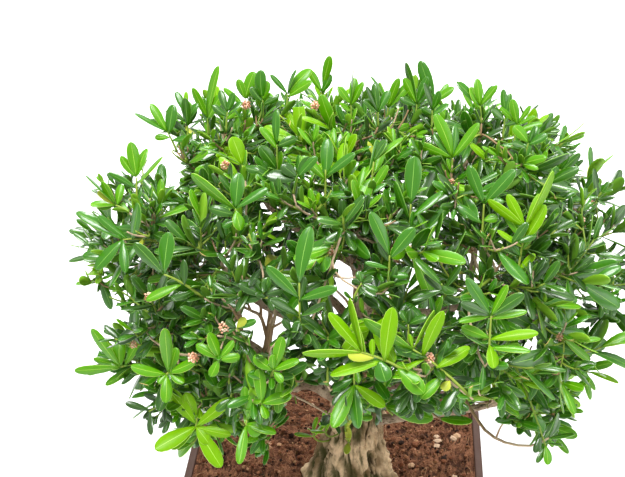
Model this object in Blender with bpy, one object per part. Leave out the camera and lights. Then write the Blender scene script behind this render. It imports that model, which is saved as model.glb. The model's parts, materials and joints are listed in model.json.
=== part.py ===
"""Boxwood bonsai in a plain square pot: a squat trunk with a fluted root flare, boughs that fork
from it, and a low dome of leafy shoots. Metres, +Z up. The origin is the middle of the pot's
flat underside, and the front of the tree faces -Y."""

import math
import random
from dataclasses import dataclass

import bmesh
import bpy
from mathutils import Vector
from mathutils.bvhtree import BVHTree

# ---- Driving dimensions -------------------------------------------------------------------
POT_WIDTH = 0.234  # outside, at the rim
POT_HEIGHT = 0.080
POT_WALL = 0.0045
POT_FLOOR = 0.007
POT_CORNER = 0.026  # outside corner radius at the rim
POT_BASE_SHARE = 0.84  # width of the underside over the width of the rim
DRAIN_RADIUS = 0.008
DRAIN_SPACING = 0.110  # between the two drain holes
CLEAR = 0.0003  # gap between two pieces that rest on each other

SOIL_BELOW_RIM = 0.001
SOIL_MOUND = 0.004  # rise of the soil from the rim to the foot of the trunk
SOIL_FLAT_RADIUS = 0.058  # level patch under the root flare

TRUNK_X = 0.014  # the trunk stands a little right of the pot's middle
TRUNK_Y = -0.011  # and a little in front of it
TRUNK_HEIGHT = 0.104  # from the soil to the fork
TRUNK_NECK_RADIUS = 0.0135
FLARE_RADIUS = 0.024  # what the root flare adds to the neck at the soil
FLARE_FALL = 0.050  # height over which the flare drops to a third
FLUTES = 7  # root ridges round the foot
FLUTE_DEPTH = 0.17  # share of the radius at the soil
FLUTE_TWIST = 0.9  # turn of the ridges from foot to fork, in radians
TRUNK_LEAN = Vector((0.010, 0.004, 0.0))  # sideways travel from foot to fork
TRUNK_BEND = 0.004  # how far the middle of the trunk stands to the left of that line
TRUNK_ROUND = 0.86  # share of the height from which the top is rounded over
TRUNK_SIDES = 26

CROWN_HALF_WIDTH = 0.190
CROWN_HALF_DEPTH = 0.178
CROWN_UPPER = 0.106  # from the crown's middle to its top
CROWN_LOWER = 0.150  # and down to the tips of its lowest shoots
CROWN_RISE = 0.224  # middle of the crown above the soil
CROWN_SQUARENESS = 3.0  # 2 is an ellipsoid, more is boxier
HEM_HEIGHT = 0.078  # lowest leaves above the soil, at the back and sides
HEM_FRONT_RISE = 0.110  # how much higher the crown is cut at its front, to show the trunk
MASS_RADIUS = 0.082
MASS_HALF_HEIGHT = 0.072
MASS_GAP = 0.0012  # between the foliage of two neighbours
SHELL_INNER = 0.50  # shoots end between these shares of the way out to the dome
SHELL_OUTER = 0.84
TIP_GAP = 0.022  # between the shoot tips of two neighbours

LEAF_LENGTH = 0.047
LEAF_WIDTH = 0.020
LEAF_THICKNESS = 0.0016
LEAF_WIDEST = 0.56  # share of the length where the blade is widest
LEAF_ROOT = 0.0005  # how far past the twig's middle a leaf is rooted
PAIR_SPACING = 0.011  # along a shoot, between pairs of leaves
SHOOTS_PER_MASS = 7
PAIRS_PER_SHOOT = 3
TWIG_RADIUS = 0.0015
STEM_RADIUS = 0.0022
LIMB_TIP_RADIUS = 0.0026
LIMB_KNOTS = 8  # points along a bough
LIMB_CLEAR = 0.0012  # between foliage and any limb
CLAY = (0.16, 0.085, 0.055)
EARTH = (0.12, 0.055, 0.032)
BARK = (0.42, 0.32, 0.21)
DEEP_LEAF = (0.045, 0.17, 0.035)
FRESH_LEAF = (0.16, 0.38, 0.035)

SOIL_TOP = POT_HEIGHT + SOIL_MOUND
GROUND = SOIL_TOP + CLEAR
CROWN_MIDDLE = Vector((TRUNK_X, TRUNK_Y, SOIL_TOP + CROWN_RISE))
UP = Vector((0.0, 0.0, 1.0))


@dataclass(frozen=True)
class Bough:
    """One limb and the mass of foliage at its tip. azimuth is round the crown from +X, out and
    up are shares of the crown's half width and half height, and parent is the limb it grows
    from, at the share fork of that limb's length."""

    name: str
    azimuth: float
    out: float
    up: float
    parent: str
    fork: float
    radius: float
    seed: int = 1


BOUGHS = (
    Bough("leader", 90, 0.08, 0.66, "trunk", 0.97, 0.0070),
    Bough("left", 185, 0.74, -0.02, "trunk", 0.74, 0.0066),
    Bough("right", 6, 0.76, -0.10, "trunk", 0.80, 0.0066),
    Bough("back", 96, 0.56, 0.46, "trunk", 0.88, 0.0060),
    Bough("front", 281, 0.64, 0.02, "trunk", 0.92, 0.0054),
    Bough("right_low", 336, 0.70, -0.66, "trunk", 0.60, 0.0050),
    Bough("back_low", 92, 0.68, -0.50, "trunk", 0.66, 0.0048),
    Bough("left_low", 200, 0.76, -0.64, "left", 0.40, 0.0036),
    Bough("front_left_low", 235, 0.66, -0.42, "left", 0.22, 0.0040),
    Bough("back_left", 144, 0.74, 0.06, "back", 0.24, 0.0044),
    Bough("back_right", 46, 0.74, 0.12, "right", 0.30, 0.0044),
    Bough("front_left", 231, 0.66, 0.40, "leader", 0.22, 0.0040),
    Bough("front_right", 312, 0.66, 0.36, "leader", 0.34, 0.0038),
    Bough("front_top", 268, 0.44, 0.60, "leader", 0.46, 0.0034),
    Bough("top_left", 174, 0.46, 0.60, "leader", 0.58, 0.0032),
    Bough("top_right", 16, 0.42, 0.62, "leader", 0.70, 0.0030),
)


# ---- Scene, materials and mesh helpers ----------------------------------------------------
def clear_scene():
    """Removes every object that the file starts with."""
    for obj in list(bpy.data.objects):
        bpy.data.objects.remove(obj, do_unlink=True)


def new_collection(name):
    """A collection linked to the scene."""
    made = bpy.data.collections.new(name)
    bpy.context.scene.collection.children.link(made)
    return made


def material(name, colour, roughness):
    """A Principled surface of one colour."""
    made = bpy.data.materials.new(name)
    made.use_nodes = True
    shader = made.node_tree.nodes["Principled BSDF"]
    shader.inputs["Base Color"].default_value = (*colour, 1.0)
    shader.inputs["Roughness"].default_value = roughness
    shader.inputs["Metallic"].default_value = 0.0
    return made


def finish(obj, colour, roughness):
    """Gives a sub-part its own material."""
    obj.data.materials.clear()
    obj.data.materials.append(material(obj.name + "_finish", colour, roughness))


def link(name, mesh, collection):
    """An object that shows the mesh in the collection."""
    obj = bpy.data.objects.new(name, mesh)
    collection.objects.link(obj)
    return obj


def as_cutter(obj):
    """Hides a helper from the render and draws it as wires."""
    obj.hide_render = True
    obj.display_type = "WIRE"
    return obj


def mesh_from(shape, name):
    """A finished mesh from a bmesh, which is freed."""
    bmesh.ops.recalc_face_normals(shape, faces=shape.faces)
    mesh = bpy.data.meshes.new(name)
    shape.to_mesh(mesh)
    shape.free()
    return mesh


def loft(name, rings):
    """A closed mesh through rings of points, each with as many points as the first, with a flat
    cap on the first ring and on the last."""
    shape = bmesh.new()
    loops = [[shape.verts.new(point) for point in ring] for ring in rings]
    for low, high in zip(loops, loops[1:]):
        count = len(low)
        for i in range(count):
            j = (i + 1) % count
            shape.faces.new((low[i], low[j], high[j], high[i]))
    shape.faces.new(reversed(loops[0]))
    shape.faces.new(loops[-1])
    return mesh_from(shape, name)


def evaluated_mesh(obj):
    """The object's mesh with its modifiers applied."""
    graph = bpy.context.evaluated_depsgraph_get()
    return bpy.data.meshes.new_from_object(obj.evaluated_get(graph))


def tube(name, points, radii, collection, sides_profile=None, roundness=1):
    """A tapering tube through the points, made as a curve and turned into a closed mesh. Its
    section is round, or that of sides_profile."""
    curve = bpy.data.curves.new(name, "CURVE")
    curve.dimensions = "3D"
    curve.use_fill_caps = True
    curve.bevel_depth = 1.0
    curve.bevel_resolution = roundness
    if sides_profile:
        curve.bevel_mode = "OBJECT"
        curve.bevel_object = sides_profile
    spline = curve.splines.new("POLY")
    spline.points.add(len(points) - 1)
    for knot, point, radius in zip(spline.points, points, radii):
        knot.co = (*point, 1.0)
        knot.radius = radius
    guide = link(name + "_guide", curve, collection)
    bpy.context.view_layer.update()
    mesh = evaluated_mesh(guide)
    bpy.data.objects.remove(guide, do_unlink=True)
    shape = bmesh.new()
    shape.from_mesh(mesh)
    bmesh.ops.remove_doubles(shape, verts=shape.verts, dist=1e-6)
    bpy.data.meshes.remove(mesh)
    return link(name, mesh_from(shape, name), collection)


def triangle_profile(collection):
    """The three-sided section of a twig, one unit from middle to corner."""
    curve = bpy.data.curves.new("twig_section", "CURVE")
    curve.dimensions = "2D"
    spline = curve.splines.new("POLY")
    spline.points.add(2)
    for i, knot in enumerate(spline.points):
        turn = 2 * math.pi * i / 3
        knot.co = (math.cos(turn), math.sin(turn), 0.0, 1.0)
    spline.use_cyclic_u = True
    return as_cutter(link("twig_section", curve, collection))


def apply_boolean(obj, operation, other=None, collection=None):
    """Joins or cuts obj with an object or with a whole collection, and applies it."""
    change = obj.modifiers.new(operation.lower(), "BOOLEAN")
    change.operation = operation
    change.solver = "MANIFOLD"
    if collection:
        change.operand_type = "COLLECTION"
        change.collection = collection
    else:
        change.object = other
    bpy.context.view_layer.update()
    mesh = evaluated_mesh(obj)
    obj.modifiers.clear()
    old = obj.data
    obj.data = mesh
    bpy.data.meshes.remove(old)


def empty_collection(collection):
    """Removes a collection's objects."""
    for obj in list(collection.objects):
        bpy.data.objects.remove(obj, do_unlink=True)


# ---- Pot and soil -------------------------------------------------------------------------
def square_ring(half, corner, height, steps=6):
    """Points round a square with round corners, anticlockwise seen from above."""
    ring = []
    for quarter in range(4):
        turn = quarter * math.pi / 2
        middle = Vector((half - corner, half - corner))
        for step in range(steps + 1):
            angle = math.pi / 2 * step / steps
            x = middle.x + corner * math.cos(angle)
            y = middle.y + corner * math.sin(angle)
            ring.append(
                (
                    x * math.cos(turn) - y * math.sin(turn),
                    x * math.sin(turn) + y * math.cos(turn),
                    height,
                )
            )
    return ring


def pot_half(height):
    """Half the pot's outside width at a height."""
    share = POT_BASE_SHARE + (1 - POT_BASE_SHARE) * height / POT_HEIGHT
    return POT_WIDTH / 2 * share


def pot_corner(height):
    """The pot's outside corner radius at a height."""
    return POT_CORNER * pot_half(height) / pot_half(POT_HEIGHT)


def build_pot(parts, cutters):
    """A tapering square bowl with two drain holes in its flat floor."""
    outside = [square_ring(pot_half(z), pot_corner(z), z) for z in (0.0, POT_HEIGHT)]
    inside = [
        square_ring(pot_half(z) - POT_WALL, pot_corner(z) - POT_WALL, z)
        for z in (POT_HEIGHT, POT_FLOOR)
    ]
    pot = link("pot", loft("pot", outside + inside), parts)
    for side in (-1, 1):
        shape = bmesh.new()
        bmesh.ops.create_cone(
            shape,
            cap_ends=True,
            segments=16,
            radius1=DRAIN_RADIUS,
            radius2=DRAIN_RADIUS,
            depth=4 * POT_FLOOR,
        )
        hole = as_cutter(link("drain", mesh_from(shape, "drain"), cutters))
        hole.location.x = side * DRAIN_SPACING / 2
        apply_boolean(pot, "DIFFERENCE", other=hole)
    finish(pot, CLAY, 0.6)


def build_soil(parts):
    """The soil that fills the pot to its rim and rises to a level patch under the trunk."""
    edge_height = POT_HEIGHT - SOIL_BELOW_RIM
    rings = []
    for z in (POT_FLOOR + CLEAR, edge_height):
        half = pot_half(z) - POT_WALL - CLEAR
        rings.append(square_ring(half, pot_corner(z) - POT_WALL, z))
    edge = [Vector(point) for point in rings[-1]]
    middle = Vector((TRUNK_X, TRUNK_Y))
    for share in (0.2, 0.5, 0.8, 1.0):
        ring = []
        for point in edge:
            foot = middle + (point.to_2d() - middle).normalized() * SOIL_FLAT_RADIUS
            place = point.to_2d().lerp(foot, share)
            ease = share * share * (3 - 2 * share)
            ring.append((place.x, place.y, edge_height + (SOIL_TOP - edge_height) * ease))
        rings.append(ring)
    finish(link("soil", loft("soil", rings), parts), EARTH, 0.95)


# ---- Limbs --------------------------------------------------------------------------------
def trunk_middle(share):
    """The trunk's centre line: it leans, with a slight bend."""
    bend = math.sin(share * math.pi) * TRUNK_BEND
    return Vector(
        (
            TRUNK_X + TRUNK_LEAN.x * share - bend,
            TRUNK_Y + TRUNK_LEAN.y * share,
            GROUND + TRUNK_HEIGHT * share,
        )
    )


def trunk_radius(share):
    """Mean radius: a neck, with a root flare that falls away with height."""
    return TRUNK_NECK_RADIUS + FLARE_RADIUS * math.exp(-share * TRUNK_HEIGHT / FLARE_FALL)


def flute(angle, share):
    """How far the root ridges stand out, as a share of the radius, at an angle and height."""
    depth = FLUTE_DEPTH * math.exp(-share * TRUNK_HEIGHT / (1.3 * FLARE_FALL))
    uneven = 1 + 0.35 * math.sin(2 * angle + 0.7)
    ridges = uneven * math.cos(FLUTES * (angle + FLUTE_TWIST * share))
    return depth * (ridges + 0.24 * math.sin(3 * angle + 1.9))


def trunk_mesh(name, clearance=0.0):
    """The fluted trunk as a loft, with a rounded top, and clearance added all over."""
    shares = (0.0, 0.04, 0.10, 0.18, 0.28, 0.40, 0.54, 0.70, TRUNK_ROUND, 0.96, 1.0)
    rings = []
    for share in shares:
        over = max(0.0, share - TRUNK_ROUND) / (1.1 * (1 - TRUNK_ROUND))
        shrink = math.sqrt(1 - over**2)
        ring = []
        for i in range(TRUNK_SIDES):
            angle = 2 * math.pi * i / TRUNK_SIDES
            reach = trunk_radius(share) * (1 + flute(angle, share)) * shrink + clearance
            out = Vector((math.cos(angle), math.sin(angle), 0.0))
            ring.append(trunk_middle(share) + out * reach)
        rings.append(ring)
    rings[0] = [point - UP * clearance for point in rings[0]]
    rings[-1] = [point + UP * clearance for point in rings[-1]]
    return loft(name, rings)


def mass_middle(bough):
    """The middle of a bough's foliage."""
    turn = math.radians(bough.azimuth)
    return CROWN_MIDDLE + Vector(
        (
            CROWN_HALF_WIDTH * bough.out * math.cos(turn),
            CROWN_HALF_DEPTH * bough.out * math.sin(turn),
            CROWN_UPPER * bough.up,
        )
    )


def outward(bough):
    """Level direction from the trunk to a bough's foliage."""
    turn = math.radians(bough.azimuth)
    return Vector((math.cos(turn), math.sin(turn), 0.0))


def bezier(start, leave, arrive, end, count):
    """Points along a cubic curve from start to end with control points leave and arrive."""
    points = []
    for i in range(count):
        t = i / (count - 1)
        s = 1 - t
        points.append(
            start * s**3 + leave * (3 * s * s * t) + arrive * (3 * s * t * t) + end * t**3
        )
    return points


def limb_point(name, share, paths):
    """A point on a limb's centre line, with the limb's direction there."""
    if name == "trunk":
        below = min(share, 0.99)
        return trunk_middle(share), (trunk_middle(below + 0.01) - trunk_middle(below)).normalized()
    path = paths[name]
    place = share * (len(path) - 1)
    i = min(int(place), len(path) - 2)
    return path[i].lerp(path[i + 1], place - i), (path[i + 1] - path[i]).normalized()


def limb_path(bough, paths):
    """A bough's centre line: it leaves its parent between the parent's direction and its own,
    and ends in the inner part of its foliage, heading into it."""
    start, along = limb_point(bough.parent, bough.fork, paths)
    middle = mass_middle(bough)
    away = (middle - start).normalized()
    tip = middle - away * MASS_RADIUS * 0.34 - UP * MASS_HALF_HEIGHT * 0.14
    span = (tip - start).length
    leave = start + (along * 0.35 + outward(bough) * 0.65 + UP * 0.10).normalized() * span * 0.42
    rise = 0.42 if bough.up > -0.5 else 0.05
    arrive = tip - (away + UP * rise).normalized() * span * 0.34
    return bezier(start, leave, arrive, tip, LIMB_KNOTS)


def limb_paths():
    """The centre line of each bough by name, a parent's before those that fork from it."""
    paths = {}
    for bough in BOUGHS:
        paths[bough.name] = limb_path(bough, paths)
    return paths


def limb_radii(bough):
    """Radii from a bough's foot to its tip."""
    last = LIMB_KNOTS - 1
    return [bough.radius + (LIMB_TIP_RADIUS - bough.radius) * i / last for i in range(LIMB_KNOTS)]


LIMB_PATHS = limb_paths()


def build_limbs(parts, cutters):
    """The trunk, then each bough, cut to sit clear of the trunk and of the boughs before it."""
    finish(link("trunk", trunk_mesh("trunk"), parts), BARK, 0.85)
    seats = [as_cutter(link("seat_trunk", trunk_mesh("seat_trunk", CLEAR), cutters))]
    for bough in BOUGHS:
        path, radii = LIMB_PATHS[bough.name], limb_radii(bough)
        limb = tube("bough_" + bough.name, path, radii, parts)
        for seat in seats:
            apply_boolean(limb, "DIFFERENCE", other=seat)
        finish(limb, BARK, 0.85)
        wide = [radius + CLEAR for radius in radii]
        seats.append(as_cutter(tube("seat_" + bough.name, path, wide, cutters)))
    empty_collection(cutters)


# ---- Foliage ------------------------------------------------------------------------------
def crown_level(point):
    """0 in the middle of the crown and 1 on its dome."""
    offset = point - CROWN_MIDDLE
    tall = CROWN_UPPER if offset.z > 0 else CROWN_LOWER
    flat = math.hypot(offset.x / CROWN_HALF_WIDTH, offset.y / CROWN_HALF_DEPTH)
    total = flat**CROWN_SQUARENESS + abs(offset.z / tall) ** CROWN_SQUARENESS
    return total ** (1 / CROWN_SQUARENESS)


def hem(point):
    """The height below which no leaf hangs at a place."""
    forward = max(0.0, (CROWN_MIDDLE.y - point.y) / CROWN_HALF_DEPTH)
    return GROUND + HEM_HEIGHT + HEM_FRONT_RISE * forward**1.5


def inside_mass(bough, point, gap=MASS_GAP, level=1.0):
    """True if the point is in the bough's own space: between the crown's hem and its dome and
    near the middle of its mass, less what lies nearer to the middle of another."""
    offset = point - mass_middle(bough)
    flat = offset.to_2d().length / MASS_RADIUS
    if flat * flat + (offset.z / MASS_HALF_HEIGHT) ** 2 > 1:
        return False
    if crown_level(point) > level or point.z < hem(point):
        return False
    for other in BOUGHS:
        if other is not bough:
            across = mass_middle(other) - mass_middle(bough)
            if offset.dot(across) / across.length > (across.length - gap) / 2:
                return False
    return True


def segment_distance(point, a, b):
    """Distance from a point to the stretch from a to b."""
    along = b - a
    share = max(0.0, min(1.0, (point - a).dot(along) / along.length_squared))
    return (point - a - along * share).length


def limb_stretches():
    """Every limb as straight stretches: two ends and a radius."""
    found = []
    for bough in BOUGHS:
        path, radii = LIMB_PATHS[bough.name], limb_radii(bough)
        found += list(zip(path, path[1:], radii))
    shares = [i / 12 for i in range(13)]
    spots = [trunk_middle(share) for share in shares]
    found += list(zip(spots, spots[1:], [trunk_radius(share) * 1.3 for share in shares]))
    return found


LIMB_STRETCHES = limb_stretches()


def clear_of_limbs(points, reach):
    """True if each point keeps reach, and a little more, from every limb."""
    for a, b, radius in LIMB_STRETCHES:
        for point in points:
            if segment_distance(point, a, b) < radius + reach + LIMB_CLEAR:
                return False
    return True


def along_path(path, steps=3):
    """Evenly spread points along a path of straight stretches."""
    return [a.lerp(b, i / steps) for a, b in zip(path, path[1:]) for i in range(steps)] + [path[-1]]


def shoot_direction(bough, tip, way, rng):
    """A shoot points away from the heart of the crown and up to the light, and a low one more
    outwards than up. way is the direction it grows along to get there."""
    heart = CROWN_MIDDLE - UP * CROWN_LOWER * 0.8
    away = (tip - heart).normalized()
    lift = 0.45 if bough.up > -0.3 else 0.0
    stray = Vector([rng.uniform(-1, 1) for _ in range(3)]) * 0.30
    return (away + UP * lift + stray + way * 0.6).normalized()


def best_tip(bough, tips, rng, tries=14):
    """A place for the next shoot's tip: in the outer part of the crown, and of some seeded tries
    the one furthest from the tips so far."""
    middle = mass_middle(bough)
    best, furthest, found = middle, -1.0, 0
    for _ in range(tries * 40):
        spread = [rng.uniform(-1, 1) for _ in range(3)]
        tip = middle + Vector(spread[:2] + [0.0]) * MASS_RADIUS
        tip.z += spread[2] * MASS_HALF_HEIGHT
        if crown_level(tip) < SHELL_INNER or not inside_mass(bough, tip, TIP_GAP, SHELL_OUTER):
            continue
        found += 1
        apart = min([(tip - other).length for other in tips], default=1.0)
        if apart > furthest:
            best, furthest = tip, apart
        if found == tries:
            break
    return best


def grow_mass(bough, rng, knots=3):
    """The twigs of one mass: a stem from the bough's tip, then shoots one by one, each from the
    nearest twig, counting the way back to the stem. Returns (points, radii) pairs."""
    path = LIMB_PATHS[bough.name]
    heading = (path[-1] - path[-2]).normalized()
    foot = path[-1] + heading * CLEAR
    heart = foot.lerp(mass_middle(bough), 0.75)
    stem = bezier(foot, foot + heading * 0.012, heart - heading * 0.006, heart, 4)
    stem[1] = foot + heading * 0.004
    radii = [STEM_RADIUS + (TWIG_RADIUS - STEM_RADIUS) * i / 3 for i in range(4)]
    twigs = [(stem, radii)]
    joints = [(stem[i], (stem[i] - stem[i - 1]).normalized(), i * 0.006) for i in (2, 3)]
    tips = []
    for _ in range(SHOOTS_PER_MASS * 3):
        if len(tips) == SHOOTS_PER_MASS:
            break
        tip = best_tip(bough, tips, rng)
        place = None
        for joint, along, back in joints:
            way = tip - joint
            turn = way.normalized().dot(along)
            cost = way.length + 0.3 * back + (0.05 if turn < 0.1 else 0.0)
            if place is None or cost < place[0]:
                place = (cost, joint, along, back)
        _, joint, along, back = place
        way = tip - joint
        span = way.length
        aim = shoot_direction(bough, tip, way.normalized(), rng)
        twig = bezier(joint, joint + along * span * 0.30, tip - aim * span * 0.40, tip, knots)
        if not all(inside_mass(bough, point, gap=0.005) for point in twig[1:]):
            continue
        if not clear_of_limbs(along_path(twig)[1:], TWIG_RADIUS):
            continue
        tips.append(tip)
        twigs.append((twig, [TWIG_RADIUS * (1 - 0.3 * i / (knots - 1)) for i in range(knots)]))
        joints.append((twig[1], (twig[2] - twig[1]).normalized(), back + span / 2))
    return twigs


def leaf_points(root, along, face, length):
    """Corners of a leaf: its root and tip, its two edges where it is widest, and the top of the
    keel down its middle."""
    across = along.cross(face).normalized() * LEAF_WIDTH / 2 * length / LEAF_LENGTH
    tip = root + along * length
    belly = root.lerp(tip, LEAF_WIDEST)
    return [root, tip, belly + across, belly - across, belly + face * LEAF_THICKNESS]


def leaf_mesh(points):
    """The six faces of a leaf."""
    shape = bmesh.new()
    root, tip, left, right, top = [shape.verts.new(point) for point in points]
    for end in (root, tip):
        for one, two in ((left, top), (top, right), (right, left)):
            shape.faces.new((end, one, two))
    return mesh_from(shape, "leaf")


def back_from_tip(twig, distance):
    """The place at a distance back along a twig from its tip, and the twig's direction there."""
    for after, before in zip(reversed(twig), reversed(twig[:-1])):
        span = (after - before).length
        if distance <= span:
            return after.lerp(before, distance / span), (after - before).normalized()
        distance -= span
    return twig[0], (twig[1] - twig[0]).normalized()


def blade_tree(corners):
    """A leaf without its root, to test for crossings."""
    root, tip, left, right, _ = corners
    return BVHTree.FromPolygons([root.lerp(tip, 0.12), left, tip, right], [(0, 1, 2), (0, 2, 3)])


def twig_tree(points):
    """A twig's middle line as slivers, to test for crossings."""
    thick = [point + UP * TWIG_RADIUS for point in points]
    faces = [(i, i + 1, len(points) + i) for i in range(len(points) - 1)]
    return BVHTree.FromPolygons(list(points) + thick, faces)


def fitting_leaf(bough, place, axis, angle, spread, taken, rng, tries=12):
    """The corners of the first of some tries at a leaf that keeps to its own space and crosses
    none of the taken ones, or None."""
    side = axis.cross(UP if abs(axis.z) < 0.95 else Vector((1.0, 0.0, 0.0))).normalized()
    other = axis.cross(side)
    for attempt in range(tries):
        loose = attempt / tries
        turn = angle + rng.uniform(-0.2, 0.2) + rng.uniform(-1.1, 1.1) * loose
        lean = math.radians(spread) * rng.uniform(0.85, 1.15) * (1 + rng.uniform(-0.5, 0.4) * loose)
        out = side * math.cos(turn) + other * math.sin(turn)
        along = (axis * math.cos(lean) + out * math.sin(lean)).normalized()
        light = axis + UP * 0.7
        face = (light - along * light.dot(along)).normalized()
        length = LEAF_LENGTH * rng.uniform(0.88, 1.06) * (1 - 0.25 * loose)
        corners = leaf_points(place - along * LEAF_ROOT, along, face, length)
        level = 1.0 + rng.uniform(-0.03, 0.05)
        if not all(inside_mass(bough, corner, level=level) for corner in corners[1:]):
            continue
        line = [corners[0].lerp(corners[1], share) for share in (0.1, 0.3, 0.5, 0.7, 0.9, 1)]
        if not clear_of_limbs(line, LEAF_WIDTH * 0.4):
            continue
        blade = blade_tree(corners)
        if not any(blade.overlap(other) for other in taken):
            taken.append(blade)
            return corners
    return None


def leaves_on(bough, twig, taken, rng):
    """Opposite pairs of leaves towards a twig's end, each pair turned a quarter from the last."""
    turn = rng.uniform(0, math.pi)
    leaves = []
    for pair in range(PAIRS_PER_SHOOT):
        place, axis = back_from_tip(twig, 0.0015 + pair * PAIR_SPACING)
        for facing in (0, math.pi):
            angle = turn + pair * math.pi / 2 + facing
            leaves.append(fitting_leaf(bough, place, axis, angle, 34 + 17 * pair, taken, rng))
    return [corners for corners in leaves if corners]


def leaf_colour(bough):
    """Deep green at the back of the crown, and the fresh green of young leaves at its front."""
    share = 0.5 - 0.5 * bough.out * math.sin(math.radians(bough.azimuth))
    return [deep + (fresh - deep) * share for deep, fresh in zip(DEEP_LEAF, FRESH_LEAF)]


def build_mass(bough, parts, work, profile):
    """One mass of foliage: its twigs and leaves, joined into one solid."""
    rng = random.Random(100 * bough.seed + BOUGHS.index(bough))
    twigs = grow_mass(bough, rng)
    mass = tube("foliage_" + bough.name, *twigs[0], parts, profile)
    for points, radii in twigs[1:]:
        tube("twig", points, radii, work, profile)
    taken = [twig_tree(points) for points, _ in twigs]
    for points, _ in twigs:
        for corners in leaves_on(bough, points, taken, rng):
            link("leaf", leaf_mesh(corners), work)
    apply_boolean(mass, "UNION", collection=work)
    empty_collection(work)
    finish(mass, leaf_colour(bough), 0.4)


def main():
    """Builds the pot, the soil, the limbs and the foliage."""
    clear_scene()
    parts = new_collection("boxwood_bonsai")
    cutters = new_collection("cutters")
    work = new_collection("work")
    build_pot(parts, cutters)
    build_soil(parts)
    build_limbs(parts, cutters)
    profile = triangle_profile(cutters)
    for bough in BOUGHS:
        build_mass(bough, parts, work, profile)
    empty_collection(cutters)


main()
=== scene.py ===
"""Looks of a boxwood bonsai in a square pot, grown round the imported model.

Metres, +Z up, and the front of the tree faces -Y. The limbs, the dome and the middles of the
masses come from the same driving sizes as the solids, and the rule that grows twigs and leaves is
the solids' rule carried to finer shoots.
"""

import json
import logging
import math
from dataclasses import dataclass, field
from enum import Enum
from typing import Any

import bmesh
import bpy
import numpy as np
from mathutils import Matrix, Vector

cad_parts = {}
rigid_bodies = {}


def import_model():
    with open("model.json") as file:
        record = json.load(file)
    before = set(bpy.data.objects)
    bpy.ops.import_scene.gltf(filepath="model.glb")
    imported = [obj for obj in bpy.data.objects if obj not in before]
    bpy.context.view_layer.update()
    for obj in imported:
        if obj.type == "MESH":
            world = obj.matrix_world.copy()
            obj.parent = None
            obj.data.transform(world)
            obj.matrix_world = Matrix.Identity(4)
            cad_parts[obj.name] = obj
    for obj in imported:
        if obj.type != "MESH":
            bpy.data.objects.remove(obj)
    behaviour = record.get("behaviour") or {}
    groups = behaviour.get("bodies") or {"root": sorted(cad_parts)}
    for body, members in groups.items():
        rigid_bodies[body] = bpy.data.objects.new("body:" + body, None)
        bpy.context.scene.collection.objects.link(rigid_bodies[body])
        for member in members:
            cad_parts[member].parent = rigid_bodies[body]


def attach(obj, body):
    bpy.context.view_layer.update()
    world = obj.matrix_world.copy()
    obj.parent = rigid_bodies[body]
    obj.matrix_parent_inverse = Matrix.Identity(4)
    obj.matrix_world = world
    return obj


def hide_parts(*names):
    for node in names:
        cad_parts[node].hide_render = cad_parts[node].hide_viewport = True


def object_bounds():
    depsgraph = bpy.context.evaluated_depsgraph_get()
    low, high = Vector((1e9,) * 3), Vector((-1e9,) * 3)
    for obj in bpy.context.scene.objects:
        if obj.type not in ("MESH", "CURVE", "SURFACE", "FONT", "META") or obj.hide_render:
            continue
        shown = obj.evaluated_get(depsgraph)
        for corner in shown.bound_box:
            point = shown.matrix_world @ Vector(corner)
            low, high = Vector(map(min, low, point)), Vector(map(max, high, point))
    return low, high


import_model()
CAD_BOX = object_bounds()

Array = np.ndarray
Colour = tuple[float, float, float]
Triple = tuple[float, float, float]
log = logging.getLogger("bonsai")

ROOT = "root"
# The hollow attribute also drives painted shade: finishes darken the colour where it is high.
HOLLOW = "hollow"  # the attribute that says how deep in a crack a point lies
UP = np.array([0.0, 0.0, 1.0])
TURN = 2 * math.pi
CLEAR = 0.0003  # gap between two solids that rest on each other
BARK_SEED = 40

VIEWPOINT = (0.035, -0.653, 0.714)
VIEW_TILT = math.radians(58.0)  # of the view from straight down
VIEW_TURN = math.radians(4.5)  # about the vertical, anticlockwise from above
ACROSS = np.array([math.cos(VIEW_TURN), math.sin(VIEW_TURN), 0.0])  # to the right in the view
TOWARD = np.cross(ACROSS, UP) * math.sin(VIEW_TILT) + UP * math.cos(VIEW_TILT)  # to the viewpoint
ABOVE = np.cross(TOWARD, ACROSS)  # up in the view


# ---- Small helpers ------------------------------------------------------------------------
def shade(red: int, green: int, blue: int) -> Colour:
    """A colour given as on a screen, 0 to 255, as the linear values that shaders take."""
    return tuple((part / 255) ** 2.2 for part in (red, green, blue))


def unit(vectors: Array) -> Array:
    """The vectors along the last axis, each one unit long."""
    return vectors / np.maximum(np.linalg.norm(vectors, axis=-1, keepdims=True), 1e-12)


def dot(one: Array, two: Array) -> Array:
    """Dot products along the last axis, which is kept with a length of one."""
    return (one * two).sum(-1, keepdims=True)


def twice(values: Array) -> Array:
    """The values, followed by the same values again."""
    return np.concatenate([values, values])


def ease(share: Array) -> Array:
    """A smooth step from 0 to 1: three squares less two cubes of the clamped share."""
    share = np.clip(share, 0.0, 1.0)
    return share * share * (3 - 2 * share)


def bezier(start: Array, leave: Array, arrive: Array, end: Array, count: int) -> Array:
    """Points along a cubic curve.

    Args:
        start: First end.
        leave: Control point that the curve leaves the start towards.
        arrive: Control point that it comes to the end from.
        end: Last end.
        count: Number of points.

    Returns:
        Points, count by 3, at evenly spaced parameters.
    """
    t = np.linspace(0, 1, count)[:, None]
    s = 1 - t
    return start * s**3 + leave * (3 * s * s * t) + arrive * (3 * s * t * t) + end * t**3


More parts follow.
